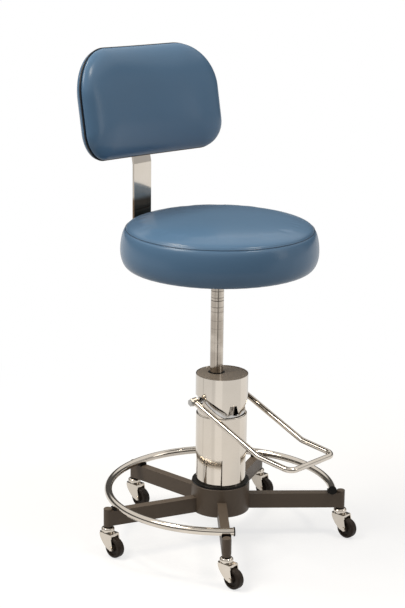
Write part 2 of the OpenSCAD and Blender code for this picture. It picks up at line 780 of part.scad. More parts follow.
// Seat plate, bolted up into the plywood board
bolt_edge = 25;
bolt_circle_r = seat_plate_r - bolt_edge;
bolt_count = 4;
bolt_r = 3;
bolt_head_r = 5.5;
bolt_head_h = 4;
bolt_short = 2;
bolt_len = seat_plate_t + seat_board_t - bolt_short;
module at_seat_bolts() {
    for (i = [0:bolt_count - 1])
        translate([0, ram_offset, 0]) rotate([0, 0, front_arm_angle + i * full_turn / bolt_count])
            translate([bolt_circle_r, 0, 0]) children();
}
module seat_plate() {
    color(steel) difference() {
        translate([0, ram_offset, seat_plate_z]) cylinder(r = seat_plate_r, h = seat_plate_t);
        at_seat_bolts() translate([0, 0, seat_plate_z - over])
            cylinder(r = bolt_r + fix_gap, h = seat_plate_t + 2 * over);
    }
}
module seat_board() {
    color(plywood) difference() {
        translate([0, ram_offset, board_z]) cylinder(r = seat_board_r, h = seat_board_t);
        at_seat_bolts() translate([0, 0, board_z - over])
            cylinder(r = bolt_r + fix_gap, h = seat_board_t + over - fix_gap);
    }
}
module seat_bolts() {
    color(steel) at_seat_bolts() {
        translate([0, 0, seat_plate_z - fix_gap - bolt_head_h])
            cylinder(r = bolt_head_r, h = bolt_head_h);
        translate([0, 0, seat_plate_z - fix_gap - bolt_head_h])
            cylinder(r = bolt_r, h = bolt_head_h + bolt_len);
    }
}

// Seat cushion: crowned top, sewn seam, drawn-in sides and a lip under the board
seat_seam_z = seat_z + seat_seam_h;
seat_top = seat_seam_z + seat_crown;
seat_waist_h = 36;
seat_waist_z = seat_z + seat_waist_h;
seam_groove = 1.2;
crown_power = 5;
side_power = 1.7;
low_power = 2.1;
crown_rings = 12;
side_rings = 8;
crown_profile = [for (i = [0:crown_rings]) let (t = sin(right_angle * i / crown_rings))
    [(seat_seam_r - seam_groove) * t, seat_top - seat_crown * pow(t, crown_power)]];
upper_side = [for (i = [0:side_rings]) let (a = right_angle * i / side_rings)
    [seat_seam_r + (seat_r - seat_seam_r) * pow(sin(a), 2 / side_power),
     seat_waist_z + (seat_seam_z - 2 * seam_groove - seat_waist_z) * pow(cos(a), 2 / side_power)]];
lower_side = [for (i = [1:side_rings]) let (a = right_angle * (1 - i / side_rings))
    [seat_low_r + (seat_r - seat_low_r) * pow(sin(a), 2 / low_power),
     seat_waist_z - (seat_waist_z - seat_z) * pow(cos(a), 2 / low_power)]];
module seat_cushion() {
    color(vinyl) translate([0, ram_offset, 0]) rotate_extrude($fn = 1.5 * $fn) polygon(concat(
        crown_profile,
        [[seat_seam_r - 2 * seam_groove, seat_seam_z - seam_groove]],
        upper_side, lower_side,
        [[lip_inner_r, seat_z], [lip_inner_r, seat_z + lip_t],
         [seat_board_r + soft_gap, seat_z + lip_t],
         [seat_board_r + soft_gap, board_top + soft_gap], [0, board_top + soft_gap]]
    ));
}

// Strap channel: under the seat plate, where a hand knob clamps the strap
channel_wall = 3;
channel_gap = 3.9;
channel_set = 2.1;
channel_front_y = ram_offset + hub_flange_r + channel_gap;
channel_len = ram_offset + seat_plate_r - channel_set - channel_front_y;
strap_top = seat_plate_z - soft_gap;
strap_z = strap_top - strap_t;
channel_z = strap_z - soft_gap - channel_wall;
channel_half_w = strap_w / 2 + soft_gap;
knob_screw_r = 4;
knob_r = 15;
knob_h = 16;
knob_lobes = 6;
channel_mid_y = channel_front_y + channel_len / 2;
module strap_channel() {
    color(steel) difference() {
        translate([-channel_half_w - channel_wall, channel_front_y, channel_z])
            cube([2 * (channel_half_w + channel_wall), channel_len,
                  seat_plate_z - fix_gap - channel_z]);
        translate([-channel_half_w, channel_front_y - over, strap_z - soft_gap])
            cube([2 * channel_half_w, channel_len + 2 * over, strap_t + 3 * soft_gap]);
        translate([0, channel_mid_y, channel_z - over])
            cylinder(r = knob_screw_r + run_gap, h = channel_wall + 2 * over);
    }
}

// Hand knob: a lobed head with its screw, drawn with the screw's tip at the origin
knob_neck = 6;
knob_dimple_r = 7;
module hand_knob(screw_len) {
    color(steel) translate([0, 0, -screw_len]) cylinder(r = knob_screw_r, h = screw_len);
    color(black) translate([0, 0, -screw_len - knob_h]) difference() {
        union() {
            cylinder(r = knob_r, h = knob_h);
            cylinder(r = knob_dimple_r, h = knob_h + over);
        }
        for (i = [0:knob_lobes - 1]) rotate([0, 0, i * full_turn / knob_lobes])
            translate([knob_r + knob_dimple_r / 2, 0, -over])
                cylinder(r = knob_dimple_r, h = knob_h + 2 * over);
    }
}
module depth_knob() {
    translate([0, channel_mid_y, strap_z - soft_gap]) hand_knob(channel_wall + knob_neck);
}

// Frame of the backrest: origin at its middle, x across, z up its face, y to the rear
strap_y = ram_offset + seat_r + strap_gap;
back_y = strap_y + back_set;
back_z = seat_z + back_rise;
module in_back_frame() {
    translate([0, back_y, back_z]) rotate([-back_tilt, 0, 0]) children();
}
module in_leaning_frame() {
    in_back_frame() rotate([0, back_lean, 0]) children();
}

// Strap: a flat bar from the channel, bent up behind the seat and back along the shell
bracket_t = 2.5;
strap_y_local = back_shell_d + fix_gap + bracket_t + move_gap;
strap_bend_r = 8;
strap_outer_r = strap_bend_r + strap_t;
strap_front_y = channel_front_y + move_gap;
strap_end_up = 62;
strap_corner_r = 10;
low_bend = [strap_y - strap_bend_r, strap_z + strap_outer_r];
high_bend_y = strap_y + strap_outer_r;
high_bend_z = back_z + ((high_bend_y - back_y) * cos(back_tilt) - strap_y_local - strap_outer_r)
    / sin(back_tilt);
function from_back(y, z) = [back_y + y * cos(back_tilt) + z * sin(back_tilt),
                            back_z - y * sin(back_tilt) + z * cos(back_tilt)];
module strap_side() {
    polygon(concat(
        [[strap_front_y, strap_z]],
        arc(low_bend[0], low_bend[1], strap_outer_r, -right_angle, 0, 8),
        arc(high_bend_y, high_bend_z, strap_bend_r, half_turn, half_turn - back_tilt, 3),
        [from_back(strap_y_local + strap_t, strap_end_up),
         from_back(strap_y_local, strap_end_up)],
        arc(high_bend_y, high_bend_z, strap_outer_r, half_turn - back_tilt, half_turn, 3),
        arc(low_bend[0], low_bend[1], strap_bend_r, 0, -right_angle, 8),
        [[strap_front_y, strap_z + strap_t]]
    ));
}
strap_corner_turn = right_angle / 3;
function strap_corner(turn) = [strap_w / 2 - strap_corner_r * (1 - cos(turn)),
                               strap_end_up - strap_corner_r * (1 - sin(turn))];
module strap_corner_cut() {
    first = strap_corner(strap_corner_turn);
    last = strap_corner(2 * strap_corner_turn);
    polygon([2 * strap_corner(0) - first, first, last, 2 * strap_corner(right_angle) - last,
             [strap_w / 2 + strap_corner_r, strap_end_up + strap_corner_r]]);
}
module strap() {
    color(chrome) difference() {
        translate([-strap_w / 2, 0, 0]) rotate([right_angle, 0, right_angle])
            linear_extrude(strap_w) strap_side();
        in_back_frame() for (side = [0, 1]) mirror([side, 0, 0])
            translate([0, strap_y_local + strap_t + over, 0]) rotate([right_angle, 0, 0])
                linear_extrude(strap_t + 2 * over) strap_corner_cut();
    }
}

// Outline of the backrest: a rounded rectangle, inset by a distance, as [across, up] points
corner_points = 10;
edge_points = 8;
side_points = 2;
corner_keep = 0.55;
least_corner_r = 8;
function back_corner(r, inset) = max(r - corner_keep * inset, least_corner_r);
function corner_limit(h, inset) =
    min(1, 2 * h / (back_corner(back_top_r, inset) + back_corner(back_low_r, inset)));
function between(a, b, n) = [for (i = [1:n]) a + (b - a) * i / (n + 1)];
function back_outline(inset) =
    let (w = back_half_w - inset, h = back_half_h - inset,
         t = back_corner(back_top_r, inset) * corner_limit(h, inset),
         b = back_corner(back_low_r, inset) * corner_limit(h, inset),
         right_top = arc(w - t, h - t, t, 0, right_angle, corner_points),
         left_top = arc(t - w, h - t, t, right_angle, 2 * right_angle, corner_points),
         left_low = arc(b - w, b - h, b, 2 * right_angle, 3 * right_angle, corner_points),
         right_low = arc(w - b, b - h, b, -right_angle, 0, corner_points))
    concat(right_top, between([w - t, h], [t - w, h], edge_points),
           left_top, between([-w, h - t], [-w, b - h], side_points),
           left_low, between([b - w, -h], [w - b, -h], edge_points),
           right_low, between([w, b - h], [w, h - t], side_points));
outline_count = len(back_outline(0));

// The backrest wraps round the sitter: its edges come forward by this share of the half width
wrap_share = 0.135;
function wrap(u) = -wrap_share * u * u / back_half_w;
function on_back(p, depth) = [p[0], depth + wrap(p[0]), p[1]];

// A closed skin through rings of [inset, depth] from the rear to the front, with a smaller
// ring and a middle point at each end. Both ends split their four-sided faces the same way,
// so that an end of one skin lies parallel to the end of the next
cap_share = 0.5;
module back_solid(rings) {
    n = outline_count;
    first = rings[0];
    last = rings[len(rings) - 1];
    layers = concat(
        [[for (p = back_outline(first[0])) on_back(cap_share * p, first[1])]],
        [for (ring = rings) [for (p = back_outline(ring[0])) on_back(p, ring[1])]],
        [[for (p = back_outline(last[0])) on_back(cap_share * p, last[1])]]
    );
    m = len(layers);
    points = concat([for (layer = layers) each layer], [[0, first[1], 0], [0, last[1], 0]]);
    sides = [for (i = [0:m - 3]) for (j = [0:n - 1]) let (k = (j + 1) % n, a = i * n)
        each [[a + j, a + n + k, a + k], [a + j, a + n + j, a + n + k]]];
    end_side = [for (j = [0:n - 1]) let (k = (j + 1) % n, a = (m - 2) * n)
        each [[a + j, a + n + j, a + k], [a + k, a + n + j, a + n + k]]];
    start_cap = [for (j = [0:n - 1]) [m * n, j, (j + 1) % n]];
    end_cap = [for (j = [0:n - 1])
        [m * n + 1, (m - 1) * n + (j + 1) % n, (m - 1) * n + j]];
    polyhedron(points = points, faces = concat(sides, end_side, start_cap, end_cap));
}

// Back cushion: starts beside the welt, swells and rounds over to a crowned face
groove_inset = 3.4 * welt_r;
groove_step = 1.7 * welt_r;
cushion_swell = 2.5;
flat_half_h = 20.4;
cushion_round = back_half_h - flat_half_h;
cushion_rings = 9;
cushion_face = [for (i = [1:cushion_rings]) let (a = right_angle * i / cushion_rings)
    [cushion_round * (1 - cos(a)) - cushion_swell * sin(2 * a),
     -groove_step - (back_cushion_d - groove_step) * sin(a)]];
module back_cushion() {
    color(vinyl) in_leaning_frame() back_solid(concat(
        [[groove_inset, -soft_gap], [welt_r / 2, -groove_step]], cushion_face));
}

// Back shell: the shallow upholstered rear, nearly flat behind
shell_round = 26;
shell_rings = 6;
shell_face = [for (i = [0:shell_rings - 1]) let (a = right_angle * i / shell_rings)
    [shell_round * (1 - sin(a)), groove_step + (back_shell_d - groove_step) * cos(a)]];
module back_shell() {
    color(vinyl) in_leaning_frame() back_solid(concat(
        shell_face, [[welt_r / 2, groove_step], [groove_inset, soft_gap]]));
}

// Welt: a cord in the joint between cushion and shell, one closed tube along the outline
welt_sides = 6;
welt_line = [for (p = back_outline(0.6 * welt_r)) on_back(p, 0)];
module back_welt() {
    n = outline_count;
    points = [for (i = [0:n - 1])
        let (d = welt_line[(i + 1) % n] - welt_line[(i + n - 1) % n],
             along = d / norm(d), side = cross(along, [0, 1, 0]), out = side / norm(side),
             rear = cross(out, along))
        for (j = [0:welt_sides - 1]) let (b = full_turn * j / welt_sides)
            welt_line[i] + welt_r * (cos(b) * out + sin(b) * rear)];
    faces = [for (i = [0:n - 1]) for (j = [0:welt_sides - 1])
        let (k = (j + 1) % welt_sides, a = i * welt_sides, b = ((i + 1) % n) * welt_sides)
        each [[a + j, a + k, b + k], [a + j, b + k, b + j]]];
    color(black) in_leaning_frame() polyhedron(points = points, faces = faces);
}

// Back bracket: a plate on the shell and a loop that slides on the strap
bracket_len = 84;
bracket_drop = 50;
bracket_flange = 18;
bracket_half_w = strap_w / 2 + move_gap;
bracket_y = back_shell_d + fix_gap;
bracket_nut_t = 4;
bracket_depth = bracket_t + strap_t + 2 * move_gap + bracket_nut_t;
back_screw_r = 2.5;
back_screw_head_r = 4.8;
back_screw_head_h = 2.8;
back_screw_len = 14;
module at_back_screws() {
    for (side = [-1, 1]) for (level = [-1, 1])
        translate([side * (bracket_half_w + bracket_t + bracket_flange / 2), bracket_y,
                   bracket_len / 2 - bracket_drop + level * bracket_len / 3])
            rotate([-right_angle, 0, 0]) children();
}
module back_bracket() {
    color(steel) in_back_frame() difference() {
        union() {
            translate([-bracket_half_w - bracket_t - bracket_flange, bracket_y, -bracket_drop])
                cube([2 * (bracket_half_w + bracket_t + bracket_flange), bracket_t, bracket_len]);
            translate([-bracket_half_w - bracket_t, bracket_y, -bracket_drop])
                cube([2 * (bracket_half_w + bracket_t), bracket_depth, bracket_len]);
        }
        translate([-bracket_half_w, bracket_y + bracket_t, -bracket_drop - over])
            cube([2 * bracket_half_w, strap_t + 2 * move_gap, bracket_len + 2 * over]);
        translate([0, bracket_y + bracket_depth - bracket_nut_t - over,
                   bracket_len / 2 - bracket_drop]) rotate([-right_angle, 0, 0])
            cylinder(r = knob_screw_r + run_gap, h = bracket_nut_t + 2 * over);
        at_back_screws() translate([0, 0, -over])
            cylinder(r = back_screw_r + fix_gap, h = bracket_t + 2 * over);
    }
}
module back_screws() {
    color(steel) in_back_frame() at_back_screws() {
        translate([0, 0, bracket_t + fix_gap])
            cylinder(r = back_screw_head_r, h = back_screw_head_h);
        translate([0, 0, 0])
            cylinder(r = back_screw_r, h = bracket_t + fix_gap + back_screw_head_h);
    }
}
module height_knob() {
    in_back_frame()
        translate([0, strap_y_local + strap_t + soft_gap, bracket_len / 2 - bracket_drop])
            rotate([right_angle, 0, 0]) hand_knob(bracket_nut_t + knob_neck);
}

// A round rod along points, with a true arc of the given radius at each inner point
module rod_along(points, radii, r) {
    last = len(points) - 1;
    function unit(v) = v / norm(v);
    function turn_at(i) = acos(unit(points[i] - points[i - 1]) * unit(points[i + 1] - points[i]));
    function tangent(i) = i == 0 || i == last ? 0 : radii[i] * tan(turn_at(i) / 2);
    function bend_normal(i) = unit(cross(points[i] - points[i - 1], points[i + 1] - points[i]));
    for (i = [0:last - 1]) {
        d = unit(points[i + 1] - points[i]);
        from = points[i] + max(tangent(i) - fix_gap, 0) * d;
        to = points[i + 1] - max(tangent(i + 1) - fix_gap, 0) * d;
        u = bend_normal(max(i, 1));
        v = cross(d, u);
        multmatrix([[u[0], v[0], d[0], from[0]], [u[1], v[1], d[1], from[1]],
                    [u[2], v[2], d[2], from[2]], [0, 0, 0, 1]])
            cylinder(r = r, h = norm(to - from));
    }
    for (i = [1:last - 1]) {
        d1 = unit(points[i] - points[i - 1]);
        n = bend_normal(i);
        start = points[i] - tangent(i) * d1;
        u = cross(d1, n);
        c = start - radii[i] * u;
        multmatrix([[u[0], d1[0], n[0], c[0]], [u[1], d1[1], n[1], c[1]],
                    [u[2], d1[2], n[2], c[2]], [0, 0, 0, 1]])
            rotate_extrude(angle = turn_at(i)) translate([radii[i], 0]) circle(r = r);
    }
}

// Foot bar: one bent rod between two bored eyes
bar_eye_r = 8.5;
bar_eye_w = 12;
bar_half_w = cover_r + bar_side_gap;
bar_bend_r = 30;
bar_points = [
    [-bar_half_w, pivot_y, pivot_z], [-bar_half_w, -bar_bend_y, bar_bend_z],
    [-bar_half_w, -bar_front_y, bar_front_z], [bar_half_w, -bar_front_y, bar_front_z],
    [bar_half_w, -bar_bend_y, bar_bend_z], [bar_half_w, pivot_y, pivot_z]
];
bar_radii = [0, bar_bend_r, bar_corner_r, bar_corner_r, bar_bend_r, 0];
module at_pivot(x) {
    translate([x, pivot_y, pivot_z]) rotate([0, right_angle, 0]) children();
}
module foot_bar() {
    color(chrome) difference() {
        union() {
            rod_along(bar_points, bar_radii, bar_rod_r);
            for (side = [-1, 1]) at_pivot(side * bar_half_w - bar_eye_w / 2)
                cylinder(r = bar_eye_r, h = bar_eye_w);
        }
        at_pivot(-bar_half_w - bar_eye_w) cylinder(r = pin_r + fix_gap, h = 2 * bar_half_w
            + 2 * bar_eye_w);
    }
}

// Yoke: a sloping half band inside the cover, with an eye on each pin, a tab on the pump
// and a lug in the cover's notch
yoke_back = 6;
yoke_eye_r = 7;
yoke_eye_x = bearing_reach + 2 * move_gap;
yoke_eye_w = 4.6;
lug_half_top = 6.4;
lug_half_low = 3.4;
lug_t = 6;
lug_top_gap = 1.5;
lug_h = 28;
lug_wedge_h = 17;
lug_top = notch_top - lug_top_gap;
module yoke_lug() {
    rotate([0, 0, notch_turn]) translate([0, lug_t - yoke_r + move_gap, lug_top])
        rotate([right_angle, 0, 0]) linear_extrude(lug_t) polygon([
            [-lug_half_top, 0], [-lug_half_low, -lug_wedge_h], [-lug_half_low, -lug_h],
            [lug_half_low, -lug_h], [lug_half_low, -lug_wedge_h], [lug_half_top, 0]
        ]);
}
module yoke() {
    color(chrome) difference() {
        union() {
            intersection() {
                translate([0, 0, pivot_z - arch_h]) difference() {
                    cylinder(r = yoke_r, h = 2 * arch_h);
                    translate([0, 0, -over])
                        cylinder(r = yoke_r - yoke_t, h = 2 * (arch_h + over));
                }
                translate([0, pivot_y, pivot_z]) rotate([yoke_tilt, 0, 0])
                    translate([-yoke_r - over, -3 * yoke_r, yoke_low])
                        cube([2 * (yoke_r + over), 3 * yoke_r + yoke_back, yoke_h]);
            }
            for (side = [-1, 1])
                at_pivot(side > 0 ? yoke_eye_x : -yoke_eye_x - yoke_eye_w)
                    cylinder(r = yoke_eye_r, h = yoke_eye_w);
            intersection() {
                translate([-tab_half_w, -yoke_r, pivot_z - tab_drop])
                    cube([2 * tab_half_w, yoke_r - tab_inner_y, tab_t]);
                translate([0, 0, pivot_z - tab_drop]) cylinder(r = yoke_r - yoke_t / 2, h = tab_t);
            }
            yoke_lug();
        }
        at_pivot(-yoke_eye_x - yoke_eye_w - over)
            cylinder(r = pin_r + fix_gap, h = 2 * (yoke_eye_x + yoke_eye_w + over));
    }
}

// Pivot pins and the nuts that hold the foot bar on them
nut_r = 8;
nut_t = 5;
pin_out = 1.5;
pin_end_x = bar_half_w + bar_eye_w / 2 + fix_gap + nut_t + pin_out;
nut_sides = 6;
module pivot_pins() {
    color(steel) for (side = [-1, 1])
        at_pivot(side > 0 ? pin_inner_x : -pin_end_x)
            cylinder(r = pin_r, h = pin_end_x - pin_inner_x);
}
module pivot_nuts() {
    color(steel) for (side = [-1, 1])
        at_pivot(side > 0 ? pin_end_x - pin_out - nut_t : -pin_end_x + pin_out) difference() {
            cylinder(r = nut_r, h = nut_t, $fn = nut_sides);
            translate([0, 0, -over]) cylinder(r = pin_r + fix_gap, h = nut_t + 2 * over);
        }
}

// Caster fork: a crown with a race boss and two legs that narrow to the axle
fork_half_w = wheel_w / 2 + wheel_side_gap + fork_t;
fork_front = 16;
fork_rear_cut = 1;
fork_rear = caster_trail - fork_rear_cut;
fork_round = 8;
leg_end_r = 4.8;
leg_h = crown_top - crown_boss_h - wheel_r;
leg_set_back = 3.2;
leg_front = fork_front - leg_set_back;
leg_shares = [[0.97, 0.94], [0.90, 0.75], [0.69, 0.55], [0.25, 0.29], [-0.25, 0.08],
              [-0.72, -0.07], [-1.44, -0.158]];
module fork_plan() {
    translate([-fork_half_w, -fork_rear])
        square([2 * fork_half_w, fork_rear + fork_front - fork_round]);
    translate([-fork_half_w + fork_round, 0])
        square([2 * (fork_half_w - fork_round), fork_front]);
    for (side = [-1, 1])
        translate([side * (fork_half_w - fork_round), fork_front - fork_round])
            circle(r = fork_round);
}
module fork_leg() {
    rotate([right_angle, 0, right_angle]) linear_extrude(fork_t) {
        translate([-caster_trail, wheel_r]) circle(r = leg_end_r);
        polygon(concat(
            [[-caster_trail - leg_end_r, wheel_r], [-fork_rear, wheel_r + leg_h],
             [fork_front - fork_round, wheel_r + leg_h]],
            [for (s = leg_shares) [leg_front * s[0], wheel_r + leg_h * s[1]]]
        ));
    }
}
module caster_fork(i) {
    a = arm_angles[i - 1] - right_angle;
    color(chrome) translate([caster_reach * cos(a), caster_reach * sin(a), 0]) difference() {
        union() {
            translate([0, 0, crown_z]) linear_extrude(crown_t) fork_plan();
            translate([0, 0, crown_z]) cylinder(r = crown_boss_r - fork_t, h = crown_t
                + crown_boss_h);
            translate([-fork_half_w, 0, 0]) fork_leg();
            translate([fork_half_w - fork_t, 0, 0]) fork_leg();
        }
        translate([0, 0, crown_z - over])
            cylinder(r = stem_r + run_gap, h = crown_t + crown_boss_h + 2 * over);
        translate([-fork_half_w - over, -caster_trail, wheel_r]) rotate([0, right_angle, 0])
            cylinder(r = axle_r + fix_gap, h = 2 * (fork_half_w + over));
    }
}

// Caster axle: a bolt with a round head and a nut
axle_head_r = 4.2;
axle_head_t = 1.6;
axle_nut_r = 4.6;
axle_nut_t = 2.6;
module caster_axle(i) {
    a = arm_angles[i - 1] - right_angle;
    color(steel)
        translate([caster_reach * cos(a), caster_reach * sin(a) - caster_trail, wheel_r])
            rotate([0, right_angle, 0]) {
                translate([0, 0, -fork_half_w - axle_head_t])
                    cylinder(r = axle_r, h = 2 * fork_half_w + axle_head_t + axle_nut_t);
                translate([0, 0, -fork_half_w - fix_gap - axle_head_t])
                    cylinder(r = axle_head_r, h = axle_head_t);
                translate([0, 0, fork_half_w + fix_gap])
                    cylinder(r = axle_nut_r, h = axle_nut_t, $fn = nut_sides);
            }
}

// Caster wheel: a hard moulded wheel with rounded tread and recessed faces
tread_round = 4.5;
recess_r = 15.5;
recess_in = 3.2;
wheel_hub_r = 6.8;
wheel_hub_half = fork_half_w - fork_t - move_gap;
wheel_half = concat(
    [[axle_r + run_gap, wheel_hub_half], [wheel_hub_r, wheel_hub_half],
     [wheel_hub_r + recess_in / 3, wheel_w / 2 - recess_in],
     [recess_r - recess_in / 3, wheel_w / 2 - recess_in], [recess_r, wheel_w / 2]],
    arc(wheel_r - tread_round, wheel_w / 2 - tread_round, tread_round, right_angle, 0, 6));
module caster_wheel(i) {
    a = arm_angles[i - 1] - right_angle;
    n = len(wheel_half);
    color(wheel_brown)
        translate([caster_reach * cos(a), caster_reach * sin(a) - caster_trail, wheel_r])
            rotate([0, right_angle, 0]) rotate_extrude() polygon(concat(
                wheel_half, [for (j = [n - 1:-1:0]) [wheel_half[j][0], -wheel_half[j][1]]]));
}

hub();
arms();
caster_sockets();
stem_bushings();
caster_stems();
base_plate();
hub_gasket();
inner_sleeve();
lower_sleeve();
upper_cover();
cover_plate();
wiper_ring();
cylinder_barrel();
gland();
oil_seal();
pump_cylinder();
pump_spring();
pivot_bearing();
foot_ring();
ring_end_caps();
ring_pads();
ring_screws();
ram();
piston();
piston_seal();
swivel_bush();
seat_hub();
seat_plate();
seat_board();
seat_cushion();
seat_bolts();
strap_channel();
depth_knob();
strap();
back_cushion();
back_welt();
back_shell();
back_bracket();
back_screws();
height_knob();
foot_bar();
yoke();
pivot_pins();
pivot_nuts();
plunger();
caster_fork(1);  // caster_fork_1
caster_fork(2);  // caster_fork_2
caster_fork(3);  // caster_fork_3
caster_fork(4);  // caster_fork_4
caster_fork(5);  // caster_fork_5
caster_axle(1);  // caster_axle_1
caster_axle(2);  // caster_axle_2
caster_axle(3);  // caster_axle_3
caster_axle(4);  // caster_axle_4
caster_axle(5);  // caster_axle_5
caster_wheel(1);  // caster_wheel_1
caster_wheel(2);  // caster_wheel_2
caster_wheel(3);  // caster_wheel_3
caster_wheel(4);  // caster_wheel_4
caster_wheel(5);  // caster_wheel_5
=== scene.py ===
import math

import bpy
import numpy as np
from mathutils import Matrix, Vector


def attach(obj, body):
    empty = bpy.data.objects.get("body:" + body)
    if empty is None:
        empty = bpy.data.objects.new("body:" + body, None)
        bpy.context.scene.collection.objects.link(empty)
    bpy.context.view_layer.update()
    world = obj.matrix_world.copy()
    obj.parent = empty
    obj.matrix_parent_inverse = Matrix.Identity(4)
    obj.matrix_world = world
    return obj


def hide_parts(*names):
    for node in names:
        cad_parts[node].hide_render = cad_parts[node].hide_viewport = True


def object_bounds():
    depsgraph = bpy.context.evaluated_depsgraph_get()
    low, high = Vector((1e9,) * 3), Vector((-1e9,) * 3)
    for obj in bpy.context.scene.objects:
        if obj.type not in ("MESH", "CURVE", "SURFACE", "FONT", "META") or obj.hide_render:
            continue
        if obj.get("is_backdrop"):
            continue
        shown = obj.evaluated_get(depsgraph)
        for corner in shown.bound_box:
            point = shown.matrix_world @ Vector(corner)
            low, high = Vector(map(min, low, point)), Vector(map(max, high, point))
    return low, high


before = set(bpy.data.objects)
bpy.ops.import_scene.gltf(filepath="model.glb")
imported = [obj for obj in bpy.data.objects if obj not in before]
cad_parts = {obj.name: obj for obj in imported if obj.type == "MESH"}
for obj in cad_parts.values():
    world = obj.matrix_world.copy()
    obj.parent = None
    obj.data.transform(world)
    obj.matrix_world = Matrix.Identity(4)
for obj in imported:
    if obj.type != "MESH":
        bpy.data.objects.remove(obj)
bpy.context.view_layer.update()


# Camera
# A long lens a little above the seat, in front of the stool and to its left, as in the
# photograph. Its place and roll were fitted to the rings, the wheels and the seat.

IMAGE_HEIGHT = 608
FOCAL_PIXELS = 1756.44
EYE = Vector((-2.5910, -2.3164, 1.4717))
FORWARD = Vector((0.7106, 0.6511, -0.2667)).normalized()
ROLL = math.radians(0.70)

camera_data = bpy.data.cameras.new("camera")
camera_data.sensor_width = 36
camera_data.lens = FOCAL_PIXELS * camera_data.sensor_width / IMAGE_HEIGHT
camera = bpy.data.objects.new("camera", camera_data)
level_right = FORWARD.cross(Vector((0, 0, 1))).normalized()
level_up = level_right.cross(FORWARD)
right = level_right * math.cos(ROLL) + level_up * math.sin(ROLL)
up = right.cross(FORWARD)
turn = Matrix((right, up, -FORWARD)).transposed().to_4x4()
camera.matrix_world = Matrix.Translation(EYE) @ turn
bpy.context.scene.collection.objects.link(camera)
bpy.context.scene.camera = camera


# Floor, backdrop and light
# A pale floor that fades into white, a dim room round it and four soft boxes: a large one
# high on the left, a tall one on the right and two small bright ones overhead. Polished
# metal sees the floor in paler and darker sectors, and bright panes in the ceiling.

class Wire:
    """An output socket of a node tree, which arithmetic and new nodes carry on from."""

    def __init__(self, tree, socket=None):
        self.tree = tree
        self.socket = socket

    def node(self, kind, settings, sockets, output=0):
        """Adds a node: its settings come first, then the values or links of its sockets."""
        made = self.tree.nodes.new(kind)
        for name, value in settings.items():
            setattr(made, name, value)
        for name, value in sockets.items():
            if isinstance(value, Wire):
                self.tree.links.new(value.socket, made.inputs[name])
            else:
                made.inputs[name].default_value = value
        return Wire(self.tree, made.outputs[output])

    def math(self, operation, *values):
        return self.node("ShaderNodeMath", {"operation": operation}, dict(enumerate(values)))

    def __add__(self, other):
        return self.math("ADD", self, other)

    def __sub__(self, other):
        return self.math("SUBTRACT", self, other)

    def __rsub__(self, other):
        return self.math("SUBTRACT", other, self)

    def __mul__(self, other):
        return self.math("MULTIPLY", self, other)

    __radd__ = __add__
    __rmul__ = __mul__

    def place(self):
        """The point's place in the object's own metres."""
        return self.node("ShaderNodeTexCoord", {}, {}, "Object")

    def rays(self, kind):
        """1 for rays of one kind, 0 for all others."""
        return self.node("ShaderNodeLightPath", {}, {}, f"Is {kind} Ray")

    def axis(self, name):
        """One component of this vector: X, Y or Z."""
        return self.node("ShaderNodeSeparateXYZ", {}, {0: self}, name)

    def vector(self, operation, *others, output=0):
        """Vector arithmetic on this vector and others."""
        sockets = dict(enumerate((self, *others)))
        return self.node("ShaderNodeVectorMath", {"operation": operation}, sockets, output)

    def noise(self, scale, detail=3.0, vector=None):
        """Soft random values from 0 to 1; scale counts the blotches in a metre."""
        sockets = {"Vector": vector or self.place(), "Scale": scale, "Detail": detail}
        return self.node("ShaderNodeTexNoise", {}, sockets)

    def ramp(self, low, high):
        """Rises smoothly from 0 where this value is low to 1 where it is high."""
        sockets = {"Value": self, "From Min": low, "From Max": high}
        return self.node("ShaderNodeMapRange", {"interpolation_type": "SMOOTHSTEP"}, sockets)

    def colors(self, first, second):
        """Goes from the first colour at 0 to the second at 1."""
        sockets = {"Factor": self, 6: first, 7: second}
        return self.node("ShaderNodeMix", {"data_type": "RGBA"}, sockets, 2)

    def bump(self, distance, strength=1.0):
        """Takes this value as a height and gives the bent normal."""
        sockets = {"Height": self, "Distance": distance, "Strength": strength}
        return self.node("ShaderNodeBump", {}, sockets)

    def into(self, shader, name):
        self.tree.links.new(self.socket, shader.inputs[name])


def seen_rays(wire):
    """1 for rays that look at the surroundings: from the camera, off metal or through glass."""
    first, *others = [wire.rays(kind) for kind in ("Camera", "Glossy", "Transmission")]
    for other in others:
        first = first.math("MAXIMUM", first, other)
    return first


def sector(direction, azimuth, core, rim):
    """1 where a level direction is within core degrees of the azimuth, 0 beyond rim."""
    toward = (math.cos(math.radians(azimuth)), math.sin(math.radians(azimuth)), 0)
    along = direction.vector("DOT_PRODUCT", toward, output="Value")
    return along.ramp(math.cos(math.radians(rim)), math.cos(math.radians(core)))


floor_mesh = bpy.data.meshes.new("floor")
reach = 16.0
floor_mesh.from_pydata(
    [(-reach, -reach, 0), (reach, -reach, 0), (reach, reach, 0), (-reach, reach, 0)],
    [], [(0, 1, 2, 3)])
floor = bpy.data.objects.new("floor", floor_mesh)
bpy.context.scene.collection.objects.link(floor)
floor_finish = bpy.data.materials.new("pale floor")
floor_finish.use_nodes = True
tree = floor_finish.node_tree
tree.nodes.clear()
wire = Wire(tree)
level = wire.place().vector("NORMALIZE")
panels = 0.88
for azimuth, core, rim, change in [(-150, 12, 17, 0.14), (-24, 20, 28, 0.14), (134, 1.2, 3.5, -0.20),
                                   (-175, 2, 9, -0.10), (40, 14, 24, -0.35)]:
    panels = panels + change * sector(level, azimuth, core, rim)
distance = wire.place().vector("LENGTH", output="Value")
dusk = distance.ramp(1.9, 2.8) * sector(level, -137.5, 45, 65)
tone = 1 - wire.rays("Glossy") * (1 - panels * (1 - 0.8 * dusk))
paper = wire.node("ShaderNodeBsdfDiffuse", {}, {"Color": (0.34, 0.34, 0.34, 1)})
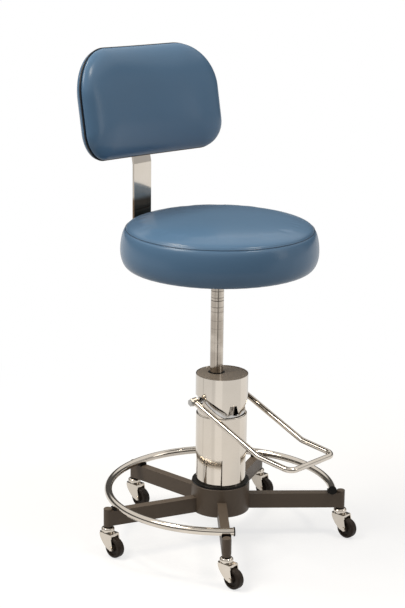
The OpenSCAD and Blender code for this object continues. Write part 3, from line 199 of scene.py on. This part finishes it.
glow = wire.node("ShaderNodeEmission", {}, {"Color": (1, 1, 1, 1), "Strength": tone})
lit = wire.node("ShaderNodeEmission", {},
                {"Color": (1, 1, 1, 1), "Strength": seen_rays(wire) * tone * 0.68})
near = wire.node("ShaderNodeAddShader", {}, {0: paper, 1: lit})
fade = distance.ramp(0.55, 1.3)
far = wire.node("ShaderNodeMixShader", {}, {0: seen_rays(wire), 1: paper, 2: glow})
both = wire.node("ShaderNodeMixShader", {}, {0: fade, 1: near, 2: far})
output = tree.nodes.new("ShaderNodeOutputMaterial")
both.into(output, "Surface")
floor_mesh.materials.append(floor_finish)
floor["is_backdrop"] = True

world = bpy.data.worlds.new("studio")
bpy.context.scene.world = world
world.use_nodes = True
tree = world.node_tree
tree.nodes.clear()
wire = Wire(tree)
direction = wire.node("ShaderNodeTexCoord", {}, {}, "Generated")
height = direction.axis("Z")
room = height.ramp(0.05, 0.85).colors((0.20, 0.198, 0.195, 1), (0.56, 0.55, 0.54, 1))
panes = height.ramp(0.40, 0.46) * (1 - height.ramp(0.86, 0.89)) + height.ramp(0.93, 0.96)
doorway = sector(direction, -42.5, 16, 26)
low = doorway.colors((0.10, 0.098, 0.095, 1), (0.56, 0.56, 0.56, 1))
ceiling = panes.colors(low, (0.95, 0.935, 0.91, 1))
room = wire.rays("Glossy").colors(room, ceiling)
seen = wire.math("MAXIMUM", wire.rays("Camera"), wire.rays("Transmission"))
white = seen.colors(room, (1, 1, 1, 1))
background = wire.node("ShaderNodeBackground", {}, {"Color": white, "Strength": 1.0})
output = tree.nodes.new("ShaderNodeOutputWorld")
background.into(output, "Surface")


def soft_box(name, place, target, width, height, watts, color):
    """A flat rectangular lamp that faces a point."""
    lamp = bpy.data.lights.new(name, "AREA")
    lamp.shape = "RECTANGLE"
    lamp.size = width
    lamp.size_y = height
    lamp.energy = watts
    lamp.color = color
    box = bpy.data.objects.new(name, lamp)
    aim = Vector(target) - Vector(place)
    box.matrix_world = Matrix.Translation(place) @ aim.to_track_quat("-Z", "Y").to_matrix().to_4x4()
    bpy.context.scene.collection.objects.link(box)


middle = (0, 0, 0.55)
soft_box("left box", (-1.98, 0.92, 3.2), middle, 1.5, 1.5, 62, (1.0, 0.95, 0.88))
soft_box("right box", (1.3, -2.6, 1.5), middle, 0.7, 1.6, 6, (1.0, 0.97, 0.93))
soft_box("rear top box", (-0.55, 1.29, 3.48), middle, 0.6, 0.4, 24, (1.0, 0.88, 0.70))
soft_box("front top box", (0.41, -1.54, 3.44), middle, 0.6, 0.6, 24, (1.0, 0.92, 0.80))
bpy.context.scene.view_settings.view_transform = "Standard"


# Base: hub, arms and caster sockets
# Welded steel, sprayed with one coat of satin taupe paint. The paint is a little
# rippled, and its upper faces are painted a paler tone in blotches: partly dirt, partly
# painted light from above.

def new_finish(name, base_color, roughness, metallic=0.0):
    """A Principled material, its shader and the wire from which its nodes start."""
    material = bpy.data.materials.new(name)
    material.use_nodes = True
    shader = material.node_tree.nodes["Principled BSDF"]
    shader.inputs["Base Color"].default_value = (*base_color, 1)
    shader.inputs["Roughness"].default_value = roughness
    shader.inputs["Metallic"].default_value = metallic
    return material, shader, Wire(material.node_tree)


def dress(material, *nodes):
    """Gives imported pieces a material."""
    for node in nodes:
        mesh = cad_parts[node].data
        mesh.materials.clear()
        mesh.materials.append(material)


paint, shader, wire = new_finish("taupe paint", (0.105, 0.080, 0.059), 0.42)
shader.inputs["Specular IOR Level"].default_value = 0.3
facing = wire.node("ShaderNodeNewGeometry", {}, {}, "Normal")
# Upward faces are painted paler in blotches: painted light from above, mixed with dirt.
upward = facing.axis("Z").ramp(0.3, 0.9)
dust_and_top_light = upward * (0.6 + 0.4 * wire.noise(60))
dust_and_top_light.colors((0.104, 0.079, 0.058, 1), (0.112, 0.086, 0.063, 1)).into(shader, "Base Color")
(0.36 + 0.14 * wire.noise(25) + 0.08 * dust_and_top_light).into(shader, "Roughness")
wire.noise(420, 2).bump(0.00012).into(shader, "Normal")
dress(paint, "hub", "arms", "caster_sockets")


# Chrome pieces
# Steel tube, sheet and bar with polished chrome plate: warm in the room's light, with
# a haze of fine wiping marks and a few dull specks. The strap's base colour is painted
# dark brown below the seat's level: a painted dark reflection of the seat's shaded side.

CHROME = (0.66, 0.595, 0.52)

chrome, shader, wire = new_finish("polished chrome", CHROME, 0.07, 1.0)
haze = wire.noise(18, 4)
specks = wire.noise(900, 2).ramp(0.66, 0.74)
haze.colors((0.61, 0.55, 0.475, 1), (0.70, 0.645, 0.575, 1)).into(shader, "Base Color")
(0.045 + 0.06 * haze + 0.12 * specks).into(shader, "Roughness")
dress(chrome, "foot_ring", "inner_sleeve", "lower_sleeve", "upper_cover", "foot_bar",
      "caster_stems", *[f"caster_{part}_{i}" for part in ("fork", "axle") for i in range(1, 6)])

strap_chrome_painted_dark, shader, wire = new_finish("strap chrome, painted dark reflection", CHROME, 0.06, 1.0)
height = wire.place().axis("Z")
haze = wire.noise(18, 4)
plated = haze.colors((0.61, 0.55, 0.475, 1), (0.70, 0.645, 0.575, 1))
# Below the seat's level the strap is painted dark brown: a painted reflection of the shaded seat.
height.ramp(0.692, 0.706).colors((0.22, 0.15, 0.10, 1), plated).into(shader, "Base Color")
(0.045 + 0.06 * haze).into(shader, "Roughness")
dress(strap_chrome_painted_dark, "strap")


# Steel, iron, bronze, plywood and rubber inside and under the stool
# Turned and drawn steel, dark castings, turned bronze guides, raw birch plywood and
# black rubber or moulded plastic. Each has the marks that its making leaves.

steel, shader, wire = new_finish("machined steel", (0.50, 0.49, 0.47), 0.3, 1.0)
stretch = wire.node("ShaderNodeMapping", {}, {"Vector": wire.place(), "Scale": (1, 1, 30)})
rings = wire.noise(120, 2, stretch)
(0.22 + 0.2 * rings).into(shader, "Roughness")
rings.bump(0.00003).into(shader, "Normal")
dress(steel, "cylinder_barrel", "pump_cylinder", "pump_spring", "pivot_bearing", "ring_screws",
      "seat_bolts", "back_screws", "pivot_pins", "pivot_nuts", "plunger")

iron, shader, wire = new_finish("dark iron", (0.035, 0.033, 0.031), 0.6)
grit = wire.noise(700, 4)
grit.colors((0.028, 0.026, 0.024, 1), (0.05, 0.047, 0.043, 1)).into(shader, "Base Color")
(0.5 + 0.25 * grit).into(shader, "Roughness")
grit.bump(0.0002).into(shader, "Normal")
dress(iron, "base_plate", "seat_hub", "seat_plate", "strap_channel", "back_bracket")

bronze, shader, wire = new_finish("turned bronze", (0.48, 0.30, 0.13), 0.35, 1.0)
(0.3 + 0.2 * wire.noise(200, 2)).into(shader, "Roughness")
dress(bronze, "gland", "piston", "swivel_bush")

plywood, shader, wire = new_finish("raw plywood", (0.55, 0.38, 0.22), 0.7)
grain = wire.node("ShaderNodeMapping", {}, {"Vector": wire.place(), "Scale": (3, 60, 60)})
fibres = wire.noise(6, 5, grain)
fibres.colors((0.44, 0.29, 0.16, 1), (0.62, 0.45, 0.27, 1)).into(shader, "Base Color")
(0.62 + 0.2 * fibres).into(shader, "Roughness")
fibres.bump(0.0002).into(shader, "Normal")
dress(plywood, "seat_board")

rubber, shader, wire = new_finish("black rubber", (0.007, 0.006, 0.005), 0.35)
shader.inputs["Specular IOR Level"].default_value = 0.12
(0.25 + 0.12 * wire.noise(300, 3)).into(shader, "Roughness")
wire.noise(900, 2).bump(0.00008).into(shader, "Normal")
dress(rubber, "hub_gasket", "wiper_ring", "oil_seal", "piston_seal", "stem_bushings",
      "ring_end_caps", "ring_pads", "depth_knob", "height_knob")

wheel_rubber, shader, wire = new_finish("hard brown rubber", (0.030, 0.022, 0.017), 0.42)
shader.inputs["Specular IOR Level"].default_value = 0.16
blotches = wire.noise(160, 3)
blotches.colors((0.024, 0.017, 0.013, 1), (0.040, 0.030, 0.023, 1)).into(shader, "Base Color")
(0.34 + 0.25 * wire.noise(90, 3)).into(shader, "Roughness")
wire.noise(700, 2).bump(0.0001).into(shader, "Normal")
dress(wheel_rubber, *[f"caster_wheel_{i}" for i in range(1, 6)])


# Ram and the cover's top plate
# The ram is ground and hard-chromed, with fine dark rings, darker higher up, and
# one long dark line down one side, a painted dark reflection. The plate in the cover's rim is
# painted and polished, so that it mirrors the ram. The yoke's lug, seen in the cover's notch,
# is painted in dark and pale flecks, painted shade of the gap with painted glints, and is left rough.

RAM_AXIS = (0, 0.0161, 0)
RING_HALF_WIDTH = 0.0008

ram_chrome, shader, wire = new_finish("ram chrome", (0.40, 0.35, 0.30), 0.12, 1.0)
along = wire.node("ShaderNodeMapping", {}, {"Vector": wire.place(), "Scale": (0, 0, 1)})
bands = wire.noise(170, 3, along)
lines = wire.noise(420, 1, along).ramp(0.60, 0.68)
height = wire.place().axis("Z")
marks_and_painted_reflection = lines * (0.15 + 0.35 * height.ramp(0.44, 0.56))
for ring_height, share in [(0.5369, 0.7), (0.5231, 0.6), (0.5167, 0.95), (0.5028, 0.6),
                           (0.4930, 0.3), (0.4738, 0.3), (0.4567, 0.25)]:
    ring = height.math("COMPARE", height, ring_height, RING_HALF_WIDTH)
    marks_and_painted_reflection = marks_and_painted_reflection.math("MAXIMUM", marks_and_painted_reflection, share * ring)
# A narrow stripe at one azimuth is painted dark down the ram and fades along its length: a painted
# dark reflection.
spot = wire.place().vector("SUBTRACT", RAM_AXIS).vector("MULTIPLY", (1, 1, 0)).vector("NORMALIZE")
painted_line_fade = wire.noise(60, 2, along).ramp(0.2, 0.7)
marks_and_painted_reflection = marks_and_painted_reflection.math("MAXIMUM", marks_and_painted_reflection, sector(spot, -130.5, 2.5, 6) * (0.45 + 0.4 * painted_line_fade))
smudge = wire.noise(26, 4).ramp(0.42, 0.62)
polish = smudge.colors((0.45, 0.395, 0.335, 1), (0.61, 0.545, 0.47, 1))
marks_and_painted_reflection.colors(polish, (0.10, 0.085, 0.07, 1)).into(shader, "Base Color")
(0.08 + 0.10 * bands + 0.10 * smudge + 0.2 * marks_and_painted_reflection).into(shader, "Roughness")
dress(ram_chrome, "ram")

plate_paint, shader, wire = new_finish("polished plate", (0.48, 0.40, 0.315), 0.10)
shader.inputs["Coat Weight"].default_value = 0.6
shader.inputs["Coat Roughness"].default_value = 0.05
(0.10 + 0.10 * wire.noise(40, 4)).into(shader, "Roughness")
dress(plate_paint, "cover_plate")

yoke_chrome, shader, wire = new_finish("yoke chrome", (0.55, 0.54, 0.53), 0.16, 1.0)
place = wire.place()
lug = place.axis("Z").ramp(0.2845, 0.2855) * (1 - place.axis("Y").ramp(-0.0385, -0.0375))
grit = wire.noise(520, 3)
# In the cover's notch the lug is painted in dark and pale flecks: painted shade of the gap with
# painted glints.
painted_gap_shade = grit.ramp(0.35, 0.65).colors((0.16, 0.135, 0.11, 1), (0.62, 0.56, 0.49, 1))
lug.colors((0.55, 0.54, 0.53, 1), painted_gap_shade).into(shader, "Base Color")
(0.14 + 0.4 * lug).into(shader, "Roughness")
(lug * grit).bump(0.0006).into(shader, "Normal")
dress(yoke_chrome, "yoke")


# Seat cushion
# A round foam pad under soft blue vinyl: a crowned top panel sewn to a side panel that
# bulges over the edge and is pulled in and stapled under the plywood board.

SEAT_MIDDLE = np.array([0.0021, 0.0138])
SEAT_LOW = 0.5885
SEAT_SEAM = (0.193, 0.668)
SEAT_CROWN = 0.0219
SEAT_WIDEST = (0.2032, 0.6245)
SEAT_LIP = 0.152
LIP_RISE = 0.003
LIP_ROUND = 0.0008
BOARD_SPACE = (0.1723, 0.6063)
VINYL = (0.096, 0.185, 0.304)


def skin(name, rings, poles, material):
    """A closed surface through rings of equal length, shape (rings, points, 3), with one
    point that closes each end. It is shaded smooth."""
    count, width = rings.shape[:2]
    index = np.arange(count * width).reshape(count, width)
    following = np.roll(index, -1, axis=1)
    quads = np.stack([index[:-1], index[1:], following[1:], following[:-1]], -1).reshape(-1, 4)
    first = np.full(width, count * width)
    start = np.stack([first, index[0], following[0]], -1)
    end = np.stack([first + 1, following[-1], index[-1]], -1)
    points = np.concatenate([rings.reshape(-1, 3), np.array(poles)])
    mesh = bpy.data.meshes.new(name)
    mesh.from_pydata(points.tolist(), [], quads.tolist() + start.tolist() + end.tolist())
    mesh.polygons.foreach_set("use_smooth", np.ones(len(mesh.polygons), bool))
    mesh.materials.append(material)
    piece = bpy.data.objects.new(name, mesh)
    bpy.context.scene.collection.objects.link(piece)
    return piece


def vinyl_finish(name):
    """Soft upholstery vinyl: a fine leather grain, a slight sheen that varies and small
    shifts of tone."""
    material, shader, wire = new_finish(name, VINYL, 0.34)
    shader.inputs["Specular IOR Level"].default_value = 0.28
    tone = wire.noise(9, 3)
    tone.colors((0.092, 0.178, 0.294, 1), (0.100, 0.191, 0.314, 1)).into(shader, "Base Color")
    grain = wire.node("ShaderNodeTexVoronoi", {"feature": "SMOOTH_F1"},
                      {"Vector": wire.place(), "Scale": 900, "Smoothness": 0.6})
    fine = wire.noise(1600, 2)
    (0.20 + 0.03 * wire.noise(30, 4) + 0.04 * grain).into(shader, "Roughness")
    (0.7 * grain + 0.3 * fine).bump(0.00005, 0.6).into(shader, "Normal")
    return material


def swell(piece, held, pressure, cap):
    """Blows a closed skin up from inside as cloth for twenty frames, with some points
    held. Each point then moves along its own path, by no more than the cap:
    cap times the hyperbolic tangent of its path over the cap."""
    count = len(piece.data.vertices)
    rest = np.zeros(count * 3)
    piece.data.vertices.foreach_get("co", rest)
    rest = rest.reshape(-1, 3)
    group = piece.vertex_groups.new(name="held")
    for share in (1.0, 0.6, 0.3):
        group.add(np.flatnonzero(np.isclose(held, share)).tolist(), share, "REPLACE")
    cloth = piece.modifiers.new("cloth", "CLOTH")
    cloth.settings.quality = 6
    cloth.settings.mass = 0.5
    cloth.settings.tension_stiffness = 30
    cloth.settings.compression_stiffness = 12
    cloth.settings.shear_stiffness = 12
    cloth.settings.bending_stiffness = 1.5
    cloth.settings.use_pressure = True
    cloth.settings.uniform_pressure_force = pressure
    cloth.settings.vertex_group_mass = "held"
    cloth.settings.effector_weights.gravity = 0
    cloth.collision_settings.use_collision = False
    cloth.point_cache.frame_start = 1
    cloth.point_cache.frame_end = 20
    scene = bpy.context.scene
    for number in range(1, 21):
        scene.frame_set(number)
    blown = piece.evaluated_get(bpy.context.evaluated_depsgraph_get()).to_mesh()
    moved = np.zeros(count * 3)
    blown.vertices.foreach_get("co", moved)
    piece.to_mesh_clear()
    piece.modifiers.remove(cloth)
    piece.vertex_groups.clear()
    scene.frame_set(1)
    path = moved.reshape(-1, 3) - rest
    length = np.linalg.norm(path, axis=1)[:, None] + 1e-9
    rest = rest + path / length * cap * np.tanh(length / cap)
    piece.data.vertices.foreach_set("co", rest.ravel())
    piece.data.update()
    smooth = piece.modifiers.new("smooth", "SUBSURF")
    smooth.levels = 1
    smooth.render_levels = 1


vinyl = vinyl_finish("blue vinyl")
groove = 0.0012
reach_share = np.sin(np.linspace(0.03, math.pi / 2, 44))
crown = np.stack([(SEAT_SEAM[0] - groove) * reach_share,
                  SEAT_SEAM[1] + SEAT_CROWN * (1 - reach_share ** 3) ** 0.5], 1)
seam = np.array([[SEAT_SEAM[0] - 0.5 * groove, SEAT_SEAM[1] - 0.4 * groove],
                 [SEAT_SEAM[0] - 1.6 * groove, SEAT_SEAM[1] - 1.0 * groove],
                 [SEAT_SEAM[0] - 0.4 * groove, SEAT_SEAM[1] - 1.6 * groove]])
angle = np.linspace(0.04, math.pi / 2, 20)
upper = np.stack([SEAT_SEAM[0] + (SEAT_WIDEST[0] - SEAT_SEAM[0]) * np.sin(angle) ** (2 / 1.7),
                  SEAT_WIDEST[1] + (SEAT_SEAM[1] - 2 * groove - SEAT_WIDEST[1])
                  * np.cos(angle) ** (2 / 1.7)], 1)
angle = np.linspace(0.07, math.pi / 2, 18)
lower = np.stack([0.184 + (SEAT_WIDEST[0] - 0.184) * np.cos(angle) ** (2 / 2.1),
                  SEAT_WIDEST[1] - (SEAT_WIDEST[1] - SEAT_LOW) * np.sin(angle) ** (2 / 2.1)], 1)
lip_top = SEAT_LOW + LIP_RISE
under = np.array([[0.180, SEAT_LOW], [0.174, SEAT_LOW], [0.167, SEAT_LOW], [0.160, SEAT_LOW],
                  [SEAT_LIP + LIP_ROUND, SEAT_LOW], [SEAT_LIP, SEAT_LOW + LIP_ROUND],
                  [SEAT_LIP, lip_top - LIP_ROUND], [SEAT_LIP + LIP_ROUND, lip_top],
                  [BOARD_SPACE[0], lip_top], [BOARD_SPACE[0], BOARD_SPACE[1]],
                  [0.02, BOARD_SPACE[1]]])
profile = np.concatenate([crown, seam, upper, lower, under])
around = np.linspace(0, 2 * math.pi, 192, endpoint=False)
ring_radius = profile[:, 0][:, None]
crease = np.exp(-((ring_radius - 0.176) / 0.011) ** 2) * (1 - np.abs(np.sin(26 * around)))
below = (profile[:, 1] < SEAT_LOW + 0.010)[:, None] & (ring_radius > 0.153)
height = profile[:, 1][:, None] + np.where(below, 0.0011 * crease, 0)
seat_rings = np.stack([ring_radius * np.cos(around) + SEAT_MIDDLE[0],
                       ring_radius * np.sin(around) + SEAT_MIDDLE[1],
                       height * np.ones_like(around)], -1)
seat_poles = [(*SEAT_MIDDLE, SEAT_SEAM[1] + SEAT_CROWN), (*SEAT_MIDDLE, BOARD_SPACE[1])]
seat_cushion = skin("seat_vinyl", seat_rings, seat_poles, vinyl)
free = np.zeros(len(profile))
free[:len(crown) - 1] = 1
free[len(crown) + 4:len(crown) + len(seam) + len(upper) + len(lower) - 2] = 1
seat_held = np.concatenate([np.repeat(1 - free, len(around)), [0, 1]])
swell(seat_cushion, seat_held, 4.0, 0.0008)
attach(seat_cushion, "seat")
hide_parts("seat_cushion")


# Seat seam's thread
# A lockstitch in dark blue thread runs round the top panel's edge, one stitch each
# four millimetres.

def stitches(name, middles, along, outward, length, radius, material):
    """Short rounded threads, one at each middle: rings of six points whose radius swells
    and closes along the stitch."""
    share = np.linspace(-1, 1, 7)
    swell = np.sqrt(np.clip(1 - share ** 4, 0.02, 1))
    side = np.cross(along, outward)
    turns = np.linspace(0, 2 * math.pi, 6, endpoint=False)
    across = outward[:, None, None] * np.cos(turns)[None, None, :, None] \
        + side[:, None, None] * np.sin(turns)[None, None, :, None]
    rings = middles[:, None, None] + along[:, None, None] * (length / 2 * share)[None, :, None, None] \
        + across * (radius * swell)[None, :, None, None]
    count = len(middles)
    per = rings.shape[1] * rings.shape[2]
    index = np.arange(per).reshape(rings.shape[1], rings.shape[2])
    following = np.roll(index, -1, axis=1)
    quads = np.stack([index[:-1], following[:-1], following[1:], index[1:]], -1).reshape(-1, 4)
    faces = (quads[None] + per * np.arange(count)[:, None, None]).reshape(-1, 4).tolist()
    ends = np.stack([index[0][::-1], index[-1]]) + per * np.arange(count)[:, None, None]
    mesh = bpy.data.meshes.new(name)
    mesh.from_pydata(rings.reshape(-1, 3).tolist(), [], faces + ends.reshape(-1, 6).tolist())
    mesh.polygons.foreach_set("use_smooth", np.ones(len(mesh.polygons), bool))
    mesh.materials.append(material)
    piece = bpy.data.objects.new(name, mesh)
    bpy.context.scene.collection.objects.link(piece)
    return piece


thread, shader, wire = new_finish("dark blue thread", (0.02, 0.032, 0.05), 0.7)
twist = wire.noise(2500, 2)
twist.colors((0.014, 0.022, 0.036, 1), (0.03, 0.045, 0.07, 1)).into(shader, "Base Color")
twist.bump(0.0001).into(shader, "Normal")
turns = np.linspace(0, 2 * math.pi, 304, endpoint=False)
outward = np.stack([np.cos(turns), np.sin(turns), np.zeros_like(turns)], 1)
along = np.stack([-np.sin(turns), np.cos(turns), np.zeros_like(turns)], 1)
middles = outward * (SEAT_SEAM[0] - 0.0001) + np.array([*SEAT_MIDDLE, SEAT_SEAM[1] - 0.0006])
seat_thread = stitches("seat_thread", middles, along, outward, 0.0031, 0.0005, thread)
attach(seat_thread, "seat")


# Backrest: front cushion
# A wide pad with rounded corners, larger at the top, that wraps a little round the
# sitter. The vinyl is drawn over foam and rolls over to the piping.

BACK_MIDDLE = (0.235, 0.9045)
BACK_TILT = math.radians(11.6)
BACK_LEAN = math.radians(1.8)
BACK_HALF = (0.1972, 0.1124)
BACK_CORNERS = (0.0975, 0.0545)
BACK_DEPTH = 0.038
SHELL_DEPTH = 0.021
WRAP = 0.135 / BACK_HALF[0]


def outline(inset):
    """The backrest's rounded outline, drawn in by inset: four corner arcs and the straight
    edges between them, as points across and up, counted round from the right side."""
    half_w, half_h = BACK_HALF[0] - inset, BACK_HALF[1] - inset
    top, low = [max(r - 0.55 * inset, 0.008) for r in BACK_CORNERS]
    fit = min(1, 2 * half_h / (top + low))
    top, low = top * fit, low * fit
    turn = np.linspace(0, math.pi / 2, 30)
    arcs = []
    for x, y, r, start in [(half_w - top, half_h - top, top, 0),
                           (top - half_w, half_h - top, top, math.pi / 2),
                           (low - half_w, low - half_h, low, math.pi),
                           (half_w - low, low - half_h, low, 1.5 * math.pi)]:
        arcs.append(np.stack([x + r * np.cos(turn + start), y + r * np.sin(turn + start)], 1))
    steps = [28, 8, 28, 8]
    parts = []
    for arc, following, count in zip(arcs, arcs[1:] + arcs[:1], steps):
        share = np.linspace(0, 1, count + 2)[1:-1, None]
        parts += [arc, arc[-1] + (following[0] - arc[-1]) * share]
    return np.concatenate(parts)


def on_back(flat, depth):
    """Places outline points at a depth behind the piping's plane: the edges come forward
    with the square of the distance from the middle, and the whole leans over a little to
    the sitter's left and back."""
    y = depth - WRAP * flat[..., 0] ** 2
    x = flat[..., 0] * math.cos(BACK_LEAN) + flat[..., 1] * math.sin(BACK_LEAN)
    z = flat[..., 1] * math.cos(BACK_LEAN) - flat[..., 0] * math.sin(BACK_LEAN)
    return np.stack([x, BACK_MIDDLE[0] + y * math.cos(BACK_TILT) + z * math.sin(BACK_TILT),
                     BACK_MIDDLE[1] - y * math.sin(BACK_TILT) + z * math.cos(BACK_TILT)], -1)


def back_form(name, edge, reach_in, depth, bulge, material):
    """A pad over the outline: its edge rings, then a quarter ellipse from the edge to the
    full depth with the sides let out by a bulge, then the outline shrunk to the middle."""
    angle = np.linspace(0, math.pi / 2, 24)[1:]
    rings = [on_back(outline(inset), y) for inset, y in edge]
    start = edge[-1][1]
    for a in angle:
        inset = reach_in * (1 - math.cos(a)) - bulge * math.sin(2 * a)
        rings.append(on_back(outline(inset), start + (depth - start) * math.sin(a)))
    inner = outline(reach_in)
    for share in np.linspace(0.82, 0.1, 6):
        rings.append(on_back(inner * share, depth))
    rings = np.array(rings)
    poles = [on_back(np.zeros(2), edge[0][1]), on_back(np.zeros(2), depth)]
    if depth < 0:
        rings = rings[:, ::-1]
    piece = skin(name, rings, poles, material)
    free = np.zeros(len(rings))
    free[len(edge) + 1:] = 1
    held = np.concatenate([np.repeat(1 - free, rings.shape[1]), [1, 0]])
    return piece, held


back_cushion, back_held = back_form(
    "back_vinyl", [(0.05, -0.0003), (0.0054, -0.0003), (0.0016, -0.0027)],
    0.092, -BACK_DEPTH, 0.0004, vinyl)
swell(back_cushion, back_held, 4.0, 0.001)
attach(back_cushion, "back")
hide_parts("back_cushion")


# Backrest: rear shell
# A pressed panel with a thin layer of foam under the same vinyl, nearly flat behind.

back_shell, shell_held = back_form(
    "back_shell_vinyl", [(0.05, 0.0003), (0.0054, 0.0003), (0.0008, 0.0027)],
    0.026, SHELL_DEPTH, 0, vinyl)
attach(back_shell, "back")
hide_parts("back_shell")


# Backrest piping
# A black vinyl cord sewn into the joint between the cushion and the shell.

WELT_RADIUS = 0.0016

piping, shader, wire = new_finish("black piping", (0.012, 0.012, 0.014), 0.4)
(0.34 + 0.2 * wire.noise(200, 3)).into(shader, "Roughness")
line = on_back(outline(0.1 * WELT_RADIUS), 0.0)
tangent = np.roll(line, -1, axis=0) - np.roll(line, 1, axis=0)
tangent /= np.linalg.norm(tangent, axis=1)[:, None]
rearward = np.array([0, math.cos(BACK_TILT), -math.sin(BACK_TILT)])
outward = np.cross(tangent, rearward)
outward /= np.linalg.norm(outward, axis=1)[:, None]
rear = np.cross(outward, tangent)
turns = np.linspace(0, 2 * math.pi, 12, endpoint=False)
tube = line[:, None] + WELT_RADIUS * (outward[:, None] * np.cos(turns)[None, :, None]
                                      + rear[:, None] * np.sin(turns)[None, :, None])
index = np.arange(tube.shape[0] * 12).reshape(-1, 12)
onward = np.roll(index, -1, axis=0)
faces = np.stack([index, np.roll(index, -1, axis=1), np.roll(onward, -1, axis=1), onward], -1)
mesh = bpy.data.meshes.new("back_piping")
mesh.from_pydata(tube.reshape(-1, 3).tolist(), [], faces.reshape(-1, 4).tolist())
mesh.polygons.foreach_set("use_smooth", np.ones(len(mesh.polygons), bool))
mesh.materials.append(piping)
back_piping = bpy.data.objects.new("back_piping", mesh)
bpy.context.scene.collection.objects.link(back_piping)
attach(back_piping, "back")
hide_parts("back_welt")


low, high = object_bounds()
